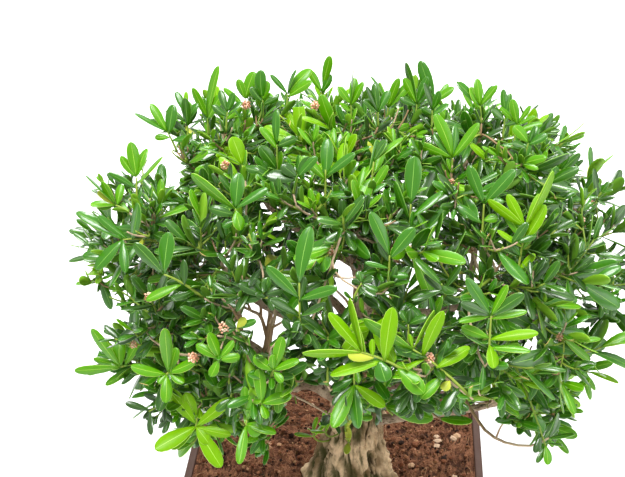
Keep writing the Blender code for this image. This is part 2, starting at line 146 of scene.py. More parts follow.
def smooth_route(stops: Array, count: int) -> Array:
    """Points along a smooth curve through given stops.

    Between two stops it is the cubic curve whose slope at each is half the way from the stop
    before to the stop after.

    Args:
        stops: The stops, in order.
        count: Number of points.

    Returns:
        Points, count by 3.
    """
    ends = np.concatenate([2 * stops[:1] - stops[1:2], stops, 2 * stops[-1:] - stops[-2:-1]])
    place = np.linspace(0, len(stops) - 1, count)
    i = np.minimum(place.astype(int), len(stops) - 2)
    t = (place - i)[:, None]
    before, one, two, after = ends[i], ends[i + 1], ends[i + 2], ends[i + 3]
    cubic = (3 * (one - two) + after - before) * t**3
    square = (2 * before - 5 * one + 4 * two - after) * t**2
    return one + 0.5 * ((two - before) * t + square + cubic)


def ripples(place: Array, lengths: Triple, seed: int, waves: int = 26) -> Array:
    """Smooth unevenness, mostly between -1 and 1: a sum of plane sine waves.

    Args:
        place: Points, any shape by 3.
        lengths: Usual wavelength along each axis.
        seed: Draws the waves' directions and phases.
        waves: How many waves are summed.

    Returns:
        One number for each point.
    """
    rng = np.random.default_rng(seed)
    counts = rng.normal(size=(waves, 3)) / np.asarray(lengths)
    phase = rng.uniform(0, TURN, waves)
    return np.sin(TURN * place @ counts.T + phase).sum(-1) * math.sqrt(2 / waves) * 0.6


def across_paths(paths: Array) -> tuple[Array, Array]:
    """Two directions at right angles to each path and to each other, at every knot.

    The first leans to the axis that the path's ends differ least along, so that a section
    carried along the path doesn't turn over.

    Args:
        paths: Middle lines, paths by knots by 3.

    Returns:
        The two directions, each paths by knots by 3.
    """
    along = unit(np.gradient(paths, axis=1))
    whole = unit(paths[:, -1] - paths[:, 0])
    least = np.eye(3)[np.abs(whole).argmin(1)][:, None]
    side = unit(least - dot(least, along) * along)
    return side, np.cross(along, side)


def ring_faces(rows: int, columns: int) -> Array:
    """Four-sided faces of a grid of points, row by row, whose columns close into a ring.

    Args:
        rows: Rows of the grid.
        columns: Points in each row.

    Returns:
        A row of four corners for each face.
    """
    row = np.arange(rows - 1)[:, None] * columns
    here = np.arange(columns)[None, :]
    beside = (here + 1) % columns
    low, high = row + here, row + columns + here
    return np.stack([low, row + beside, row + columns + beside, high], -1).reshape(-1, 4)


def fan_faces(pole: int, ring: Array, flip: bool) -> Array:
    """Triangles from a pole to the points of a closed ring.

    Args:
        pole: The pole's corner.
        ring: The ring's corners, in order.
        flip: True turns the triangles over.

    Returns:
        A row of three corners for each triangle.
    """
    beside = np.roll(ring, -1)
    order = (beside, ring) if flip else (ring, beside)
    return np.stack([np.full(len(ring), pole), *order], -1)


def ball() -> tuple[Array, Array]:
    """Corners and three-sided faces of an icosahedron one unit in radius.

    Returns:
        The corners, and the faces as rows of three.
    """
    shape = bmesh.new()
    bmesh.ops.create_icosphere(shape, subdivisions=1, radius=1.0)
    corners = np.array([corner.co[:] for corner in shape.verts])
    faces = np.array([[corner.index for corner in face.verts] for face in shape.faces])
    shape.free()
    return corners, faces


@dataclass
class Surface:
    """Points and faces gathered for one piece.

    Attributes:
        points: Blocks of points.
        faces: Blocks of faces: corner numbers, faces by corners, and each face's finish.
        hollow: Blocks of one number a point, from 0 on a ridge to 1 in a crack, which sets painted shade
            and moss.
        count: Points so far.
    """

    points: list[Array] = field(default_factory=list)
    faces: list[tuple[Array, Array]] = field(default_factory=list)
    hollow: list[Array] = field(default_factory=list)
    count: int = 0

    def add(self, points: Array, faces: list[Array], finish: Any = 0, hollow: Any = 0.0) -> None:
        """Adds a block.

        Args:
            points: Points, any shape by 3.
            faces: Arrays of corner numbers within the block, one array for each face size.
            finish: Number of the faces' finish, or a list of arrays that match faces.
            hollow: One number, or one for each point.
        """
        points = points.reshape(-1, 3)
        for i, corners in enumerate(faces):
            which = finish[i] if isinstance(finish, list) else finish
            self.faces.append((corners + self.count, np.broadcast_to(which, len(corners))))
        self.points.append(points)
        self.hollow.append(np.broadcast_to(np.ravel(hollow), len(points)))
        self.count += len(points)

    def add_rings(self, rings: Array, poles: Array, hollow: Any = 0.0, inward: bool = False) -> None:
        """Adds a closed skin: rings one after another, and a pole at each end.

        Args:
            rings: Points, rings by columns by 3.
            poles: The first ring's pole and the last one's.
            hollow: One number, or one for each point of the rings and for each pole.
            inward: True where the rings' own order would turn the faces inward.
        """
        rows, columns, _ = rings.shape
        walls = ring_faces(rows, columns)
        if inward:
            walls = walls[:, ::-1]
        around = np.arange(columns)
        caps = [
            fan_faces(rows * columns, around, not inward),
            fan_faces(rows * columns + 1, (rows - 1) * columns + around, inward),
        ]
        points = np.concatenate([rings.reshape(-1, 3), poles])
        self.add(points, [walls, np.concatenate(caps)], hollow=hollow)

    def add_tubes(self, paths: Array, radii: Array, sides: int, finish: Any = 0) -> None:
        """Adds closed tubes: a circle carried along each path and a pole at each end.

        Args:
            paths: Middle lines, tubes by knots by 3.
            radii: Radius at each knot, tubes by knots.
            sides: Corners of the section.
            finish: One number, or one for each tube.
        """
        tubes, knots, _ = paths.shape
        side, other = across_paths(paths)
        turn = np.arange(sides) * TURN / sides
        out = side[:, :, None] * np.cos(turn)[:, None] + other[:, :, None] * np.sin(turn)[:, None]
        rings = paths[:, :, None] + out * radii[:, :, None, None]
        ends = np.stack([paths[:, 0], paths[:, -1]], 1)
        points = np.concatenate([rings.reshape(tubes, -1, 3), ends], 1)
        walls = ring_faces(knots, sides)
        around = np.arange(sides)
        first = fan_faces(knots * sides, around, True)
        last = fan_faces(knots * sides + 1, (knots - 1) * sides + around, False)
        caps = np.concatenate([first, last])
        shift = (np.arange(tubes) * points.shape[1])[:, None, None]
        blocks = [(block + shift).reshape(-1, block.shape[1]) for block in (walls, caps)]
        which = np.broadcast_to(finish, tubes)
        finishes = [np.repeat(which, len(block)) for block in (walls, caps)]
        self.add(points, blocks, finishes)

    def add_lumps(self, middles: Array, sizes: Array, finish: Array, rng: np.random.Generator) -> None:
        """Adds lumps: balls of 20 faces, each corner moved in or out, turned about the vertical.

        Args:
            middles: Their middles.
            sizes: Half their width, depth and height, lumps by 3.
            finish: Number of each one's finish.
            rng: Draws their shapes.
        """
        count = len(middles)
        cage, faces = ball()
        shape = cage * rng.uniform(0.68, 1.22, (count, len(cage), 1)) * sizes[:, None]
        turn = rng.uniform(0, TURN, count)[:, None]
        x = shape[..., 0] * np.cos(turn) - shape[..., 1] * np.sin(turn)
        y = shape[..., 0] * np.sin(turn) + shape[..., 1] * np.cos(turn)
        points = np.stack([x, y, shape[..., 2]], -1) + middles[:, None]
        shift = (np.arange(count) * len(cage))[:, None, None]
        self.add(points, [(faces + shift).reshape(-1, 3)], [np.repeat(finish, len(faces))])

    def build(self, name: str, finishes: list[bpy.types.Material], smooth: bool = True) -> bpy.types.Object:
        """Makes the piece.

        Args:
            name: The piece's name.
            finishes: Materials, in the order of the faces' finish numbers.
            smooth: True for soft shading across edges.

        Returns:
            The object, with world coordinates in its mesh and only the finishes that it uses.
        """
        mesh = bpy.data.meshes.new(name)
        points = np.concatenate(self.points)
        mesh.vertices.add(len(points))
        mesh.vertices.foreach_set("co", points.astype(np.float32).ravel())
        sizes = np.concatenate([np.full(len(c), c.shape[1]) for c, _ in self.faces])
        corners = np.concatenate([c.ravel() for c, _ in self.faces])
        starts = np.concatenate([[0], np.cumsum(sizes)[:-1]])
        mesh.loops.add(len(corners))
        mesh.loops.foreach_set("vertex_index", corners.astype(np.int32))
        mesh.polygons.add(len(sizes))
        mesh.polygons.foreach_set("loop_start", starts.astype(np.int32))
        mesh.polygons.foreach_set("loop_total", sizes.astype(np.int32))
        which = np.concatenate([w for _, w in self.faces])
        used = np.unique(which)
        for number in used if finishes else []:
            mesh.materials.append(finishes[number])
        mesh.polygons.foreach_set("material_index", np.searchsorted(used, which).astype(np.int32))
        mesh.polygons.foreach_set("use_smooth", np.full(len(sizes), smooth))
        hollow = np.concatenate(self.hollow)
        if hollow.any():
            mark = mesh.attributes.new(HOLLOW, "FLOAT", "POINT")
            mark.data.foreach_set("value", hollow.astype(np.float32))
        mesh.update(calc_edges=True)
        mesh.validate()
        piece = bpy.data.objects.new(name, mesh)
        bpy.context.scene.collection.objects.link(piece)
        return piece


def settle(piece: bpy.types.Object, slot: str, *nodes: str) -> None:
    """Lets a piece ride on the plant and stand for its solids, which it hides.

    Args:
        piece: The piece.
        slot: Not used.
        nodes: The solids that it stands for.
    """
    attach(piece, ROOT)
    if nodes:
        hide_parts(*nodes)
    log.info("%s: %d faces", piece.name, len(piece.data.polygons))


# ---- Shader graph -------------------------------------------------------------------------
class Wire:
    """One output socket of a material. Arithmetic on it adds Math nodes."""

    def __init__(self, graph: "Graph", socket: bpy.types.NodeSocket) -> None:
        """Keeps the graph and the socket."""
        self.graph = graph
        self.socket = socket

    def __add__(self, other: Any) -> "Wire":
        """This value plus another."""
        return self.graph.maths("ADD", self, other)

    __radd__ = __add__

    def __sub__(self, other: Any) -> "Wire":
        """This value less another."""
        return self.graph.maths("SUBTRACT", self, other)

    def __mul__(self, other: Any) -> "Wire":
        """This value times another."""
        return self.graph.maths("MULTIPLY", self, other)

    __rmul__ = __mul__


class Graph:
    """The node tree of one material, which ends in a Principled surface."""

    def __init__(self, name: str) -> None:
        """Starts a material with nothing but its surface and output.

        Args:
            name: The material's name.
        """
        self.material = bpy.data.materials.new(name)
        self.material.use_nodes = True
        self.tree = self.material.node_tree
        self.shader = self.tree.nodes["Principled BSDF"]

    def node(
        self,
        kind: str,
        settings: dict[str, Any] | None = None,
        values: dict[Any, Any] | None = None,
        output: Any = 0,
    ) -> Wire:
        """Adds a node.

        Args:
            kind: The node's type.
            settings: Its properties, set first; "stops" are a colour ramp's.
            values: Values or wires by socket name or number.
            output: The output that the wire comes from.

        Returns:
            The wire from that output.
        """
        made = self.tree.nodes.new(kind)
        for name, value in (settings or {}).items():
            if name == "stops":
                self.set_stops(made.color_ramp, value)
            else:
                setattr(made, name, value)
        for name, value in (values or {}).items():
            if isinstance(value, Wire):
                self.tree.links.new(value.socket, made.inputs[name])
            else:
                made.inputs[name].default_value = value
        return Wire(self, made.outputs[output])

    @staticmethod
    def set_stops(ramp: bpy.types.ColorRamp, stops: list[tuple[float, Colour]]) -> None:
        """Gives a colour ramp its stops, each a place from 0 to 1 and a colour.

        Args:
            ramp: The ramp's node.
            stops: The stops, in order.
        """
        while len(ramp.elements) < len(stops):
            ramp.elements.new(1.0)
        for element, (place, colour) in zip(ramp.elements, stops):
            element.position = place
            element.color = (*colour, 1.0)

    def maths(self, operation: str, one: Any, two: Any) -> Wire:
        """A Math node on two values."""
        return self.node("ShaderNodeMath", {"operation": operation}, {0: one, 1: two})

    def band(self, value: Wire, low: float, high: float) -> Wire:
        """0 where the value is under low, 1 over high, and smooth between."""
        settings = {"interpolation_type": "SMOOTHSTEP"}
        return self.node("ShaderNodeMapRange", settings, {0: value, 1: low, 2: high})

    def mix(self, share: Any, one: Any, two: Any) -> Wire:
        """A colour between two colours: the first at a share of 0, the second at 1.

        Args:
            share: How much of the second, 0 to 1.
            one: The first colour.
            two: The second colour.

        Returns:
            The mixed colour.
        """
        pair = [(*side, 1.0) if isinstance(side, tuple) else side for side in (one, two)]
        values = {0: share, 6: pair[0], 7: pair[1]}
        return self.node("ShaderNodeMix", {"data_type": "RGBA"}, values, 2)

    def place(self, stretch: Triple = (1.0, 1.0, 1.0)) -> Wire:
        """Object coordinates, each axis times its stretch.

        Args:
            stretch: The factor for each axis.

        Returns:
            The stretched place.
        """
        here = self.node("ShaderNodeTexCoord", output="Object")
        settings = {"operation": "MULTIPLY"}
        return self.node("ShaderNodeVectorMath", settings, {0: here, 1: stretch})

    def noise(self, size: float, detail: float = 3.0, stretch: Triple = (1.0, 1.0, 1.0)) -> Wire:
        """Noise whose grain is about size across, in metres."""
        values = {"Vector": self.place(stretch), "Scale": 1 / size, "Detail": detail}
        return self.node("ShaderNodeTexNoise", values=values)

    def hollow(self) -> Wire:
        """How deep in a crack the surface lies, from 0 on a ridge to 1, which finishes darken as painted
        shade.
        """
        return self.node("ShaderNodeAttribute", {"attribute_name": HOLLOW}, output="Fac")

    def bump(self, height: Wire, depth: float, strength: float = 1.0) -> Wire:
        """A normal from a height between 0 and 1 that stands for depth metres."""
        values = {"Strength": strength, "Distance": depth, "Height": height}
        return self.node("ShaderNodeBump", values=values)

    def dress(self, **values: Any) -> bpy.types.Material:
        """Gives the surface its values or wires.

        Args:
            values: Values or wires by the socket's name, with _ for a space.

        Returns:
            The finished material.
        """
        for name, value in values.items():
            socket = self.shader.inputs[name.replace("_", " ")]
            if isinstance(value, Wire):
                self.tree.links.new(value.socket, socket)
            elif isinstance(value, tuple) and len(value) == 3 and socket.type == "RGBA":
                socket.default_value = (*value, 1.0)
            else:
                socket.default_value = value
        return self.material


# ---- Finishes -----------------------------------------------------------------------------
@dataclass(frozen=True)
class LeafFinish:
    """Waxy skin of a leaf in one plain colour, with a fine grain.

    Attributes:
        name: The finish's name.
        colour: Base colour.
        roughness: Roughness of the skin.
        wax: Weight of the clear coat.
        glow: How much light passes through.
        shine: Strength of the skin's own reflection.
    """

    name: str
    colour: Colour
    roughness: float
    wax: float
    glow: float
    shine: float

    def material(self) -> bpy.types.Material:
        """Builds the material.

        Returns:
            The material.
        """
        graph = Graph(self.name)
        grain = graph.noise(0.0016, 2.0)
        return graph.dress(
            Base_Color=self.colour,
            Roughness=self.roughness,
            Coat_Weight=self.wax,
            Coat_Roughness=0.20,
            Specular_IOR_Level=self.shine,
            Subsurface_Weight=self.glow,
            Subsurface_Radius=(0.4, 1.0, 0.15),
            Subsurface_Scale=0.0012,
            Normal=graph.bump(grain, 0.00012, 0.35),
        )


@dataclass(frozen=True)
class BarkFinish:
    """Bark with pale ridges, dark cracks, painted shade in its hollows, and moss in some of them.

    Attributes:
        name: The finish's name.
        ridge: Colour of the ridges.
        middle: Colour between ridges and cracks.
        crack: Dark colour of the cracks and flecks, and of the painted shade in the hollows.
        moss: Colour of the moss.
        moss_share: How much of the hollows the moss fills.
        grain: Size of the finest flakes.
    """

    name: str
    ridge: Colour
    middle: Colour
    crack: Colour
    moss: Colour
    moss_share: float
    grain: float

    def material(self) -> bpy.types.Material:
        """Builds the material.

        Returns:
            The material.
        """
        graph = Graph(self.name)
        depth = graph.hollow()
        blotch = graph.noise(self.grain * 14, 4.0)
        flakes = graph.noise(self.grain, 5.0, (1.0, 1.0, 0.35))
        worn = graph.mix(graph.band(blotch, 0.38, 0.64), self.ridge, self.middle)
        # Painted shade: the deeper the hollow attribute says a point lies, the more of the dark crack
        # colour it takes.
        deep = graph.band(depth + 0.35 * (flakes - 0.5), 0.25, 0.85)
        crack_and_shade = graph.mix(deep, worn, self.crack)
        speckle = graph.band(flakes, 0.50, 0.72) * 0.35
        flecked = graph.mix(speckle, crack_and_shade, self.crack)
        damp = graph.band(graph.noise(self.grain * 20, 3.0), 0.40, 0.56)
        mossy = graph.band(depth, 0.02, 0.38) * damp * self.moss_share
        return graph.dress(
            Base_Color=graph.mix(mossy, flecked, self.moss),
            Roughness=0.72 + 0.22 * deep,
            Specular_IOR_Level=0.3,
            Normal=graph.bump(flakes - 0.6 * deep, self.grain * 0.7, 0.8),
        )


@dataclass(frozen=True)
class PlainFinish:
    """A dull surface in one colour with fine relief.

    Attributes:
        name: The finish's name.
        colour: Base colour.
        roughness: Roughness of the surface.
        grain: Size of the grains.
        depth: Height of the grains.
    """

    name: str
    colour: Colour
    roughness: float
    grain: float
    depth: float

    def material(self) -> bpy.types.Material:
        """Builds the material.

        Returns:
            The material.
        """
        graph = Graph(self.name)
        return graph.dress(
            Base_Color=self.colour,
            Roughness=self.roughness,
            Specular_IOR_Level=0.25,
            Normal=graph.bump(graph.noise(self.grain, 3.0), self.depth, 0.8),
        )


@dataclass(frozen=True)
class GrainFinish:
    """An earthy surface mottled between three colours, with painted shade in its hollows.

    Attributes:
        name: The finish's name.
        low: Darkest colour.
        middle: Usual colour.
        high: Palest colour.
        grain: Size of the grains.
        depth: Height of the grains.
        pit_shade: How dark the painted shade in the hollows is.
        roughness: Roughness of the surface.
    """

    name: str
    low: Colour
    middle: Colour
    high: Colour
    grain: float
    depth: float
    pit_shade: float
    roughness: float = 0.95

    def material(self) -> bpy.types.Material:
        """Builds the material.

        Returns:
            The material.
        """
        graph = Graph(self.name)
        fine = graph.noise(self.grain, 4.0)
        lumps = graph.noise(self.grain * 7, 3.0)
        stops = [(0.30, self.low), (0.50, self.middle), (0.72, self.high)]
        share = 0.62 * fine + 0.38 * lumps
        mottled = graph.node("ShaderNodeValToRGB", {"stops": stops}, {0: share})
        # Painted shade: the hollows take more of the darkest colour.
        pit_shade_mix = graph.band(graph.hollow(), 0.45, 0.95) * self.pit_shade
        return graph.dress(
            Base_Color=graph.mix(pit_shade_mix, mottled, self.low),
            Roughness=self.roughness,
            Specular_IOR_Level=0.2,
            Normal=graph.bump(fine, self.depth),
        )


@dataclass(frozen=True)
class ClayFinish:
    """Unglazed brown clay with fine sand, paler where its edges are worn.

    Attributes:
        name: The finish's name.
        body: Usual colour.
        dark: Colour of the fired blush.
        pale: Colour of sand and of the lime near the rim.
        dust: Colour of the soil that lies on the rim.
        rim: Height of the rim.
    """

    name: str
    body: Colour
    dark: Colour
    pale: Colour
    dust: Colour
    rim: float

    def material(self) -> bpy.types.Material:
        """Builds the material.

        Returns:
            The material.
        """
        graph = Graph(self.name)
        blush = graph.band(graph.noise(0.060, 3.0), 0.40, 0.66)
        clay = graph.mix(blush * 0.7, self.body, self.dark)
        sand = graph.noise(0.0011, 2.0)
        specks = graph.band(sand, 0.66, 0.74) * 0.5
        sandy = graph.mix(specks, clay, self.pale)
        height = graph.node("ShaderNodeSeparateXYZ", values={0: graph.place()}, output="Z")
        wander = 0.020 * (graph.noise(0.018, 4.0) - 0.5)
        lime = graph.band(height + wander, self.rim - 0.016, self.rim + 0.004)
        streak = graph.noise(0.004, 3.0, (1.0, 1.0, 0.12))
        limed = graph.mix(lime * graph.band(streak, 0.42, 0.66) * 0.35, sandy, self.pale)
        top = graph.band(height + 0.0016 * (graph.noise(0.005, 4.0) - 0.5), self.rim - 0.0016, self.rim)
        dusty = top * graph.band(graph.noise(0.0032, 4.0), 0.16, 0.34)
        return graph.dress(
            Base_Color=graph.mix(dusty, limed, self.dust),
            Roughness=0.62 + 0.22 * graph.noise(0.012, 3.0),
            Normal=graph.bump(0.7 * sand + 0.3 * graph.noise(0.004, 2.0), 0.00028, 0.8),
        )


class Age(Enum):
    """Ages of a spray of leaves, from the youngest to the oldest, and one that yellows."""

    NEW = 0
    FRESH = 1
    FULL = 2
    GROWN = 3
    DEEP = 4
    OLD = 5
    YELLOW = 6


NEW, FRESH, FULL, GROWN, DEEP, OLD, YELLOW = Age

BLADES = {
    NEW: LeafFinish("leaf_new", shade(110, 160, 8), 0.40, 0.04, 0.14, 0.16),
    FRESH: LeafFinish("leaf_fresh", shade(84, 143, 6), 0.34, 0.14, 0.12, 0.32),
    FULL: LeafFinish("leaf_full", shade(54, 112, 4), 0.29, 0.30, 0.10, 0.50),
    GROWN: LeafFinish("leaf_grown", shade(50, 98, 6), 0.28, 0.32, 0.08, 0.56),
    DEEP: LeafFinish("leaf_deep", shade(42, 80, 10), 0.28, 0.32, 0.05, 0.60),
    OLD: LeafFinish("leaf_old", shade(36, 66, 22), 0.32, 0.16, 0.03, 0.50),
    YELLOW: LeafFinish("leaf_yellow", shade(176, 186, 66), 0.42, 0.04, 0.12, 0.20),
}
LINES = (
    LeafFinish("leaf_line_new", shade(172, 206, 88), 0.42, 0.04, 0.12, 0.20),
    LeafFinish("leaf_line_full", shade(136, 180, 84), 0.42, 0.04, 0.08, 0.25),
    LeafFinish("leaf_line_old", shade(106, 148, 78), 0.42, 0.04, 0.06, 0.30),
)
UNDERS = (
    LeafFinish("leaf_under_new", shade(118, 164, 40), 0.50, 0.0, 0.14, 0.20),
    LeafFinish("leaf_under_old", shade(88, 130, 38), 0.50, 0.0, 0.08, 0.20),
)
CUT_EDGE = LeafFinish("leaf_cut_edge", shade(196, 164, 108), 0.60, 0.0, 0.05, 0.20)
# Numbers of the first line, the first underside and the cut edge among a leaf piece's finishes.
FIRST_LINE = len(BLADES)
FIRST_UNDER = FIRST_LINE + len(LINES)
CUT = FIRST_UNDER + len(UNDERS)
LINE_OF_AGE = np.array([0, 0, 1, 1, 2, 2, 0])  # which of LINES a leaf of each age has
UNDER_OF_AGE = np.array([0, 0, 0, 1, 1, 1, 0])  # and which of UNDERS

TRUNK_BARK = BarkFinish(
    "bark_trunk",
    ridge=shade(224, 193, 154),
    middle=shade(124, 101, 68),
    # crack: dark bark colour, also used as painted shade in the root valleys, creases and cracks
    crack=shade(62, 50, 32),
    moss=shade(64, 66, 28),
    moss_share=0.85,
    grain=0.0016,
)
BOUGH_BARK = BarkFinish(
    "bark_boughs",
    ridge=shade(176, 154, 130),
    middle=shade(132, 108, 88),
    crack=shade(62, 50, 40),
    # crack: dark bark colour, also used as painted shade in the cracks
    moss=shade(92, 92, 58),
    moss_share=0.35,
    grain=0.0010,
)
TWIGS = (
    PlainFinish("twig_grey", shade(186, 162, 134), 0.80, 0.0007, 0.00012),
    PlainFinish("twig_brown", shade(150, 122, 92), 0.80, 0.0007, 0.00012),
    PlainFinish("twig_green", shade(116, 140, 52), 0.50, 0.0007, 0.00008),
    PlainFinish("twig_young", shade(138, 158, 64), 0.50, 0.0007, 0.00008),
)
EARTH = GrainFinish(
    "soil_earth",
    low=shade(52, 33, 24),
    middle=shade(122, 80, 59),
    high=shade(172, 124, 92),
    grain=0.0011,
    depth=0.0010,
    # pits: strength of the painted shade in the soil's hollows
    pit_shade=0.85,
)
CRUMBS = (
    PlainFinish("crumb_black", shade(46, 31, 23), 0.95, 0.0007, 0.0004),
    PlainFinish("crumb_dark", shade(82, 53, 38), 0.95, 0.0007, 0.0004),
    PlainFinish("crumb_red", shade(124, 78, 55), 0.95, 0.0007, 0.0004),
    PlainFinish("crumb_brown", shade(146, 100, 72), 0.95, 0.0007, 0.0004),
    PlainFinish("crumb_tan", shade(178, 134, 102), 0.95, 0.0007, 0.0004),
)
CHIPS = (
    PlainFinish("chip_pale", shade(206, 174, 146), 0.90, 0.0009, 0.0004),
    PlainFinish("chip_tan", shade(196, 156, 124), 0.90, 0.0009, 0.0004),
)
FIBRES = (
    PlainFinish("fibre_dark", shade(116, 80, 56), 0.90, 0.0009, 0.0001),
    PlainFinish("fibre_pale", shade(170, 130, 98), 0.90, 0.0009, 0.0001),
)
HUSKS = (
    PlainFinish("husk_pink", shade(226, 168, 136), 0.85, 0.0005, 0.0003),
    PlainFinish("husk_pale", shade(238, 206, 178), 0.85, 0.0005, 0.0003),
    PlainFinish("husk_brown", shade(172, 120, 90), 0.85, 0.0005, 0.0003),
)
CLAY = ClayFinish(
    "clay",
    body=shade(70, 44, 32),
    dark=shade(52, 33, 25),
    pale=shade(98, 72, 55),
    dust=shade(76, 48, 35),
    rim=0.080,
)


# ---- Pot and soil -------------------------------------------------------------------------
@dataclass(frozen=True)
class Pot:
    """A tapering square bowl with round corners, a soft lip and two drain holes."""

    width: float = 0.234
    height: float = 0.080
    wall: float = 0.0045
    floor: float = 0.007
    corner: float = 0.026
    base_share: float = 0.84  # width at the foot over the width at the rim
    lip_rise: float = 0.009  # height of the band under the rim
    lip_out: float = 0.0016  # how far the band stands out
    edge: float = 0.0012  # radius of the soft edges
    drain_radius: float = 0.008
    drain_spacing: float = 0.110
    drain_sides: int = 40
    sharp: float = 50.0  # edges that turn further than this stay sharp, in degrees
    around: int = 256
    straight: float = 0.62  # share of each ring's points that lie along its four sides

    def half(self, height: float | Array) -> float | Array:
        """Half the outside width at a height."""
        return self.width / 2 * (self.base_share + (1 - self.base_share) * height / self.height)

    def ring(self, half: Array, corner: Array) -> Array:
        """Points round a square with round corners.

        The angle round the ring is that of a circle. Each point is the corner circle's middle
        plus its radius that way, and where the angle faces a side, the point slides evenly
        along that side.

        Args:
            half: Half the square's width, one for each ring.
            corner: Corner radius, one for each ring.

        Returns:
            Points, rings by around by 2.
        """
        share = np.arange(self.around) / self.around * 4
        quarter = np.floor(share)
        local = share - quarter - 0.5
        slide = np.clip(local / self.straight, -0.5, 0.5) * 2
        past = np.clip(np.abs(local) - self.straight / 2, 0, 1)
        angle = past * np.sign(local) / (1 - self.straight) * math.pi / 2
        half, corner = np.atleast_1d(half)[:, None], np.atleast_1d(corner)[:, None]
        across = slide * (half - corner) + corner * np.sin(angle)
        out = half - corner + corner * np.cos(angle)
        way = quarter * math.pi / 2
        x = out * np.cos(way) - across * np.sin(way)
        y = out * np.sin(way) + across * np.cos(way)
        return np.stack([x, y], -1)

    def rings(self, half: Array, corner: Array, height: Array) -> Array:
        """Level rings round the square.

        Args:
            half: Half the square's width, one for each ring.
            corner: Corner radius, one for each ring.
            height: Height, one for each ring.

        Returns:
            Points, rings by around by 3.
        """
        flat = self.ring(half, corner)
        return np.concatenate([flat, np.broadcast_to(height[:, None, None], (*flat.shape[:2], 1))], -1)

    def profile(self) -> tuple[Array, Array]:
        """Half widths and heights from the middle of the underside, up the outside, over the
        lip, down the inside and to the middle of the floor.

        Returns:
            The half widths, and the heights.
        """
        out = self.half
        lip = self.height - self.lip_rise
        turns = np.linspace(0, 1, 5) * math.pi / 2
        rows = [(out(0) * share, 0.0) for share in (0.25, 0.6, 0.9)]
        foot = out(0) - self.edge
        rows += [(foot + self.edge * math.sin(a), self.edge * (1 - math.cos(a))) for a in turns]
        rows += [(out(z), z) for z in np.linspace(0.012, lip - 0.0012, 9)]
        rows += [(out(lip) + self.lip_out * share, lip + rise) for share, rise in ((0.5, 0), (1, 0.001))]
        top = self.height - self.edge
        rows.append((out(top) + self.lip_out, top - 0.003))
        rim = out(top) + self.lip_out - self.edge
        rows += [(rim + self.edge * math.cos(a), top + self.edge * math.sin(a)) for a in turns]
        inner = out(top) - self.wall + self.edge
        rows += [(inner - self.edge * math.sin(a), top + self.edge * math.cos(a)) for a in turns]
        rows += [(out(z) - self.wall, z) for z in (0.060, 0.030, self.floor)]
        rows += [((out(self.floor) - self.wall) * share, self.floor) for share in (0.9, 0.5, 0.2)]
        halves, heights = np.array(rows).T
        return halves, heights

    def build(self) -> None:
        """Carries the profile round the square, closes both poles and drills the drains."""
        halves, heights = self.profile()
        corners = self.corner * halves / self.half(self.height)
        shell = Surface()
        shell.add_rings(
            self.rings(halves, np.minimum(corners, halves * 0.98), heights),
            np.array([[0, 0, 0], [0, 0, self.floor]]),
        )
        piece = shell.build("pot_bowl", [CLAY.material()])
        for side in (-1, 1):
            self.drill(piece, side * self.drain_spacing / 2)
        piece.data.set_sharp_from_angle(angle=math.radians(self.sharp))
        settle(piece, "pot", "pot")

    def drill(self, piece: bpy.types.Object, x: float) -> None:
        """Cuts one drain through the floor, at a place along X.

        Args:
            piece: The bowl.
            x: The hole's place along X.
        """
        bit = Surface()
        ends = np.array([[[x, 0.0, -self.floor], [x, 0.0, 2 * self.floor]]])
        bit.add_tubes(ends, np.full((1, 2), self.drain_radius), self.drain_sides)
        cutter = bit.build("drain", [])
        cut = piece.modifiers.new("drain", "BOOLEAN")
        cut.object = cutter
        cut.solver = "MANIFOLD"
        graph = bpy.context.evaluated_depsgraph_get()
        drilled = bpy.data.meshes.new_from_object(piece.evaluated_get(graph))
        piece.modifiers.clear()
        piece.data = drilled
        bpy.data.objects.remove(cutter)


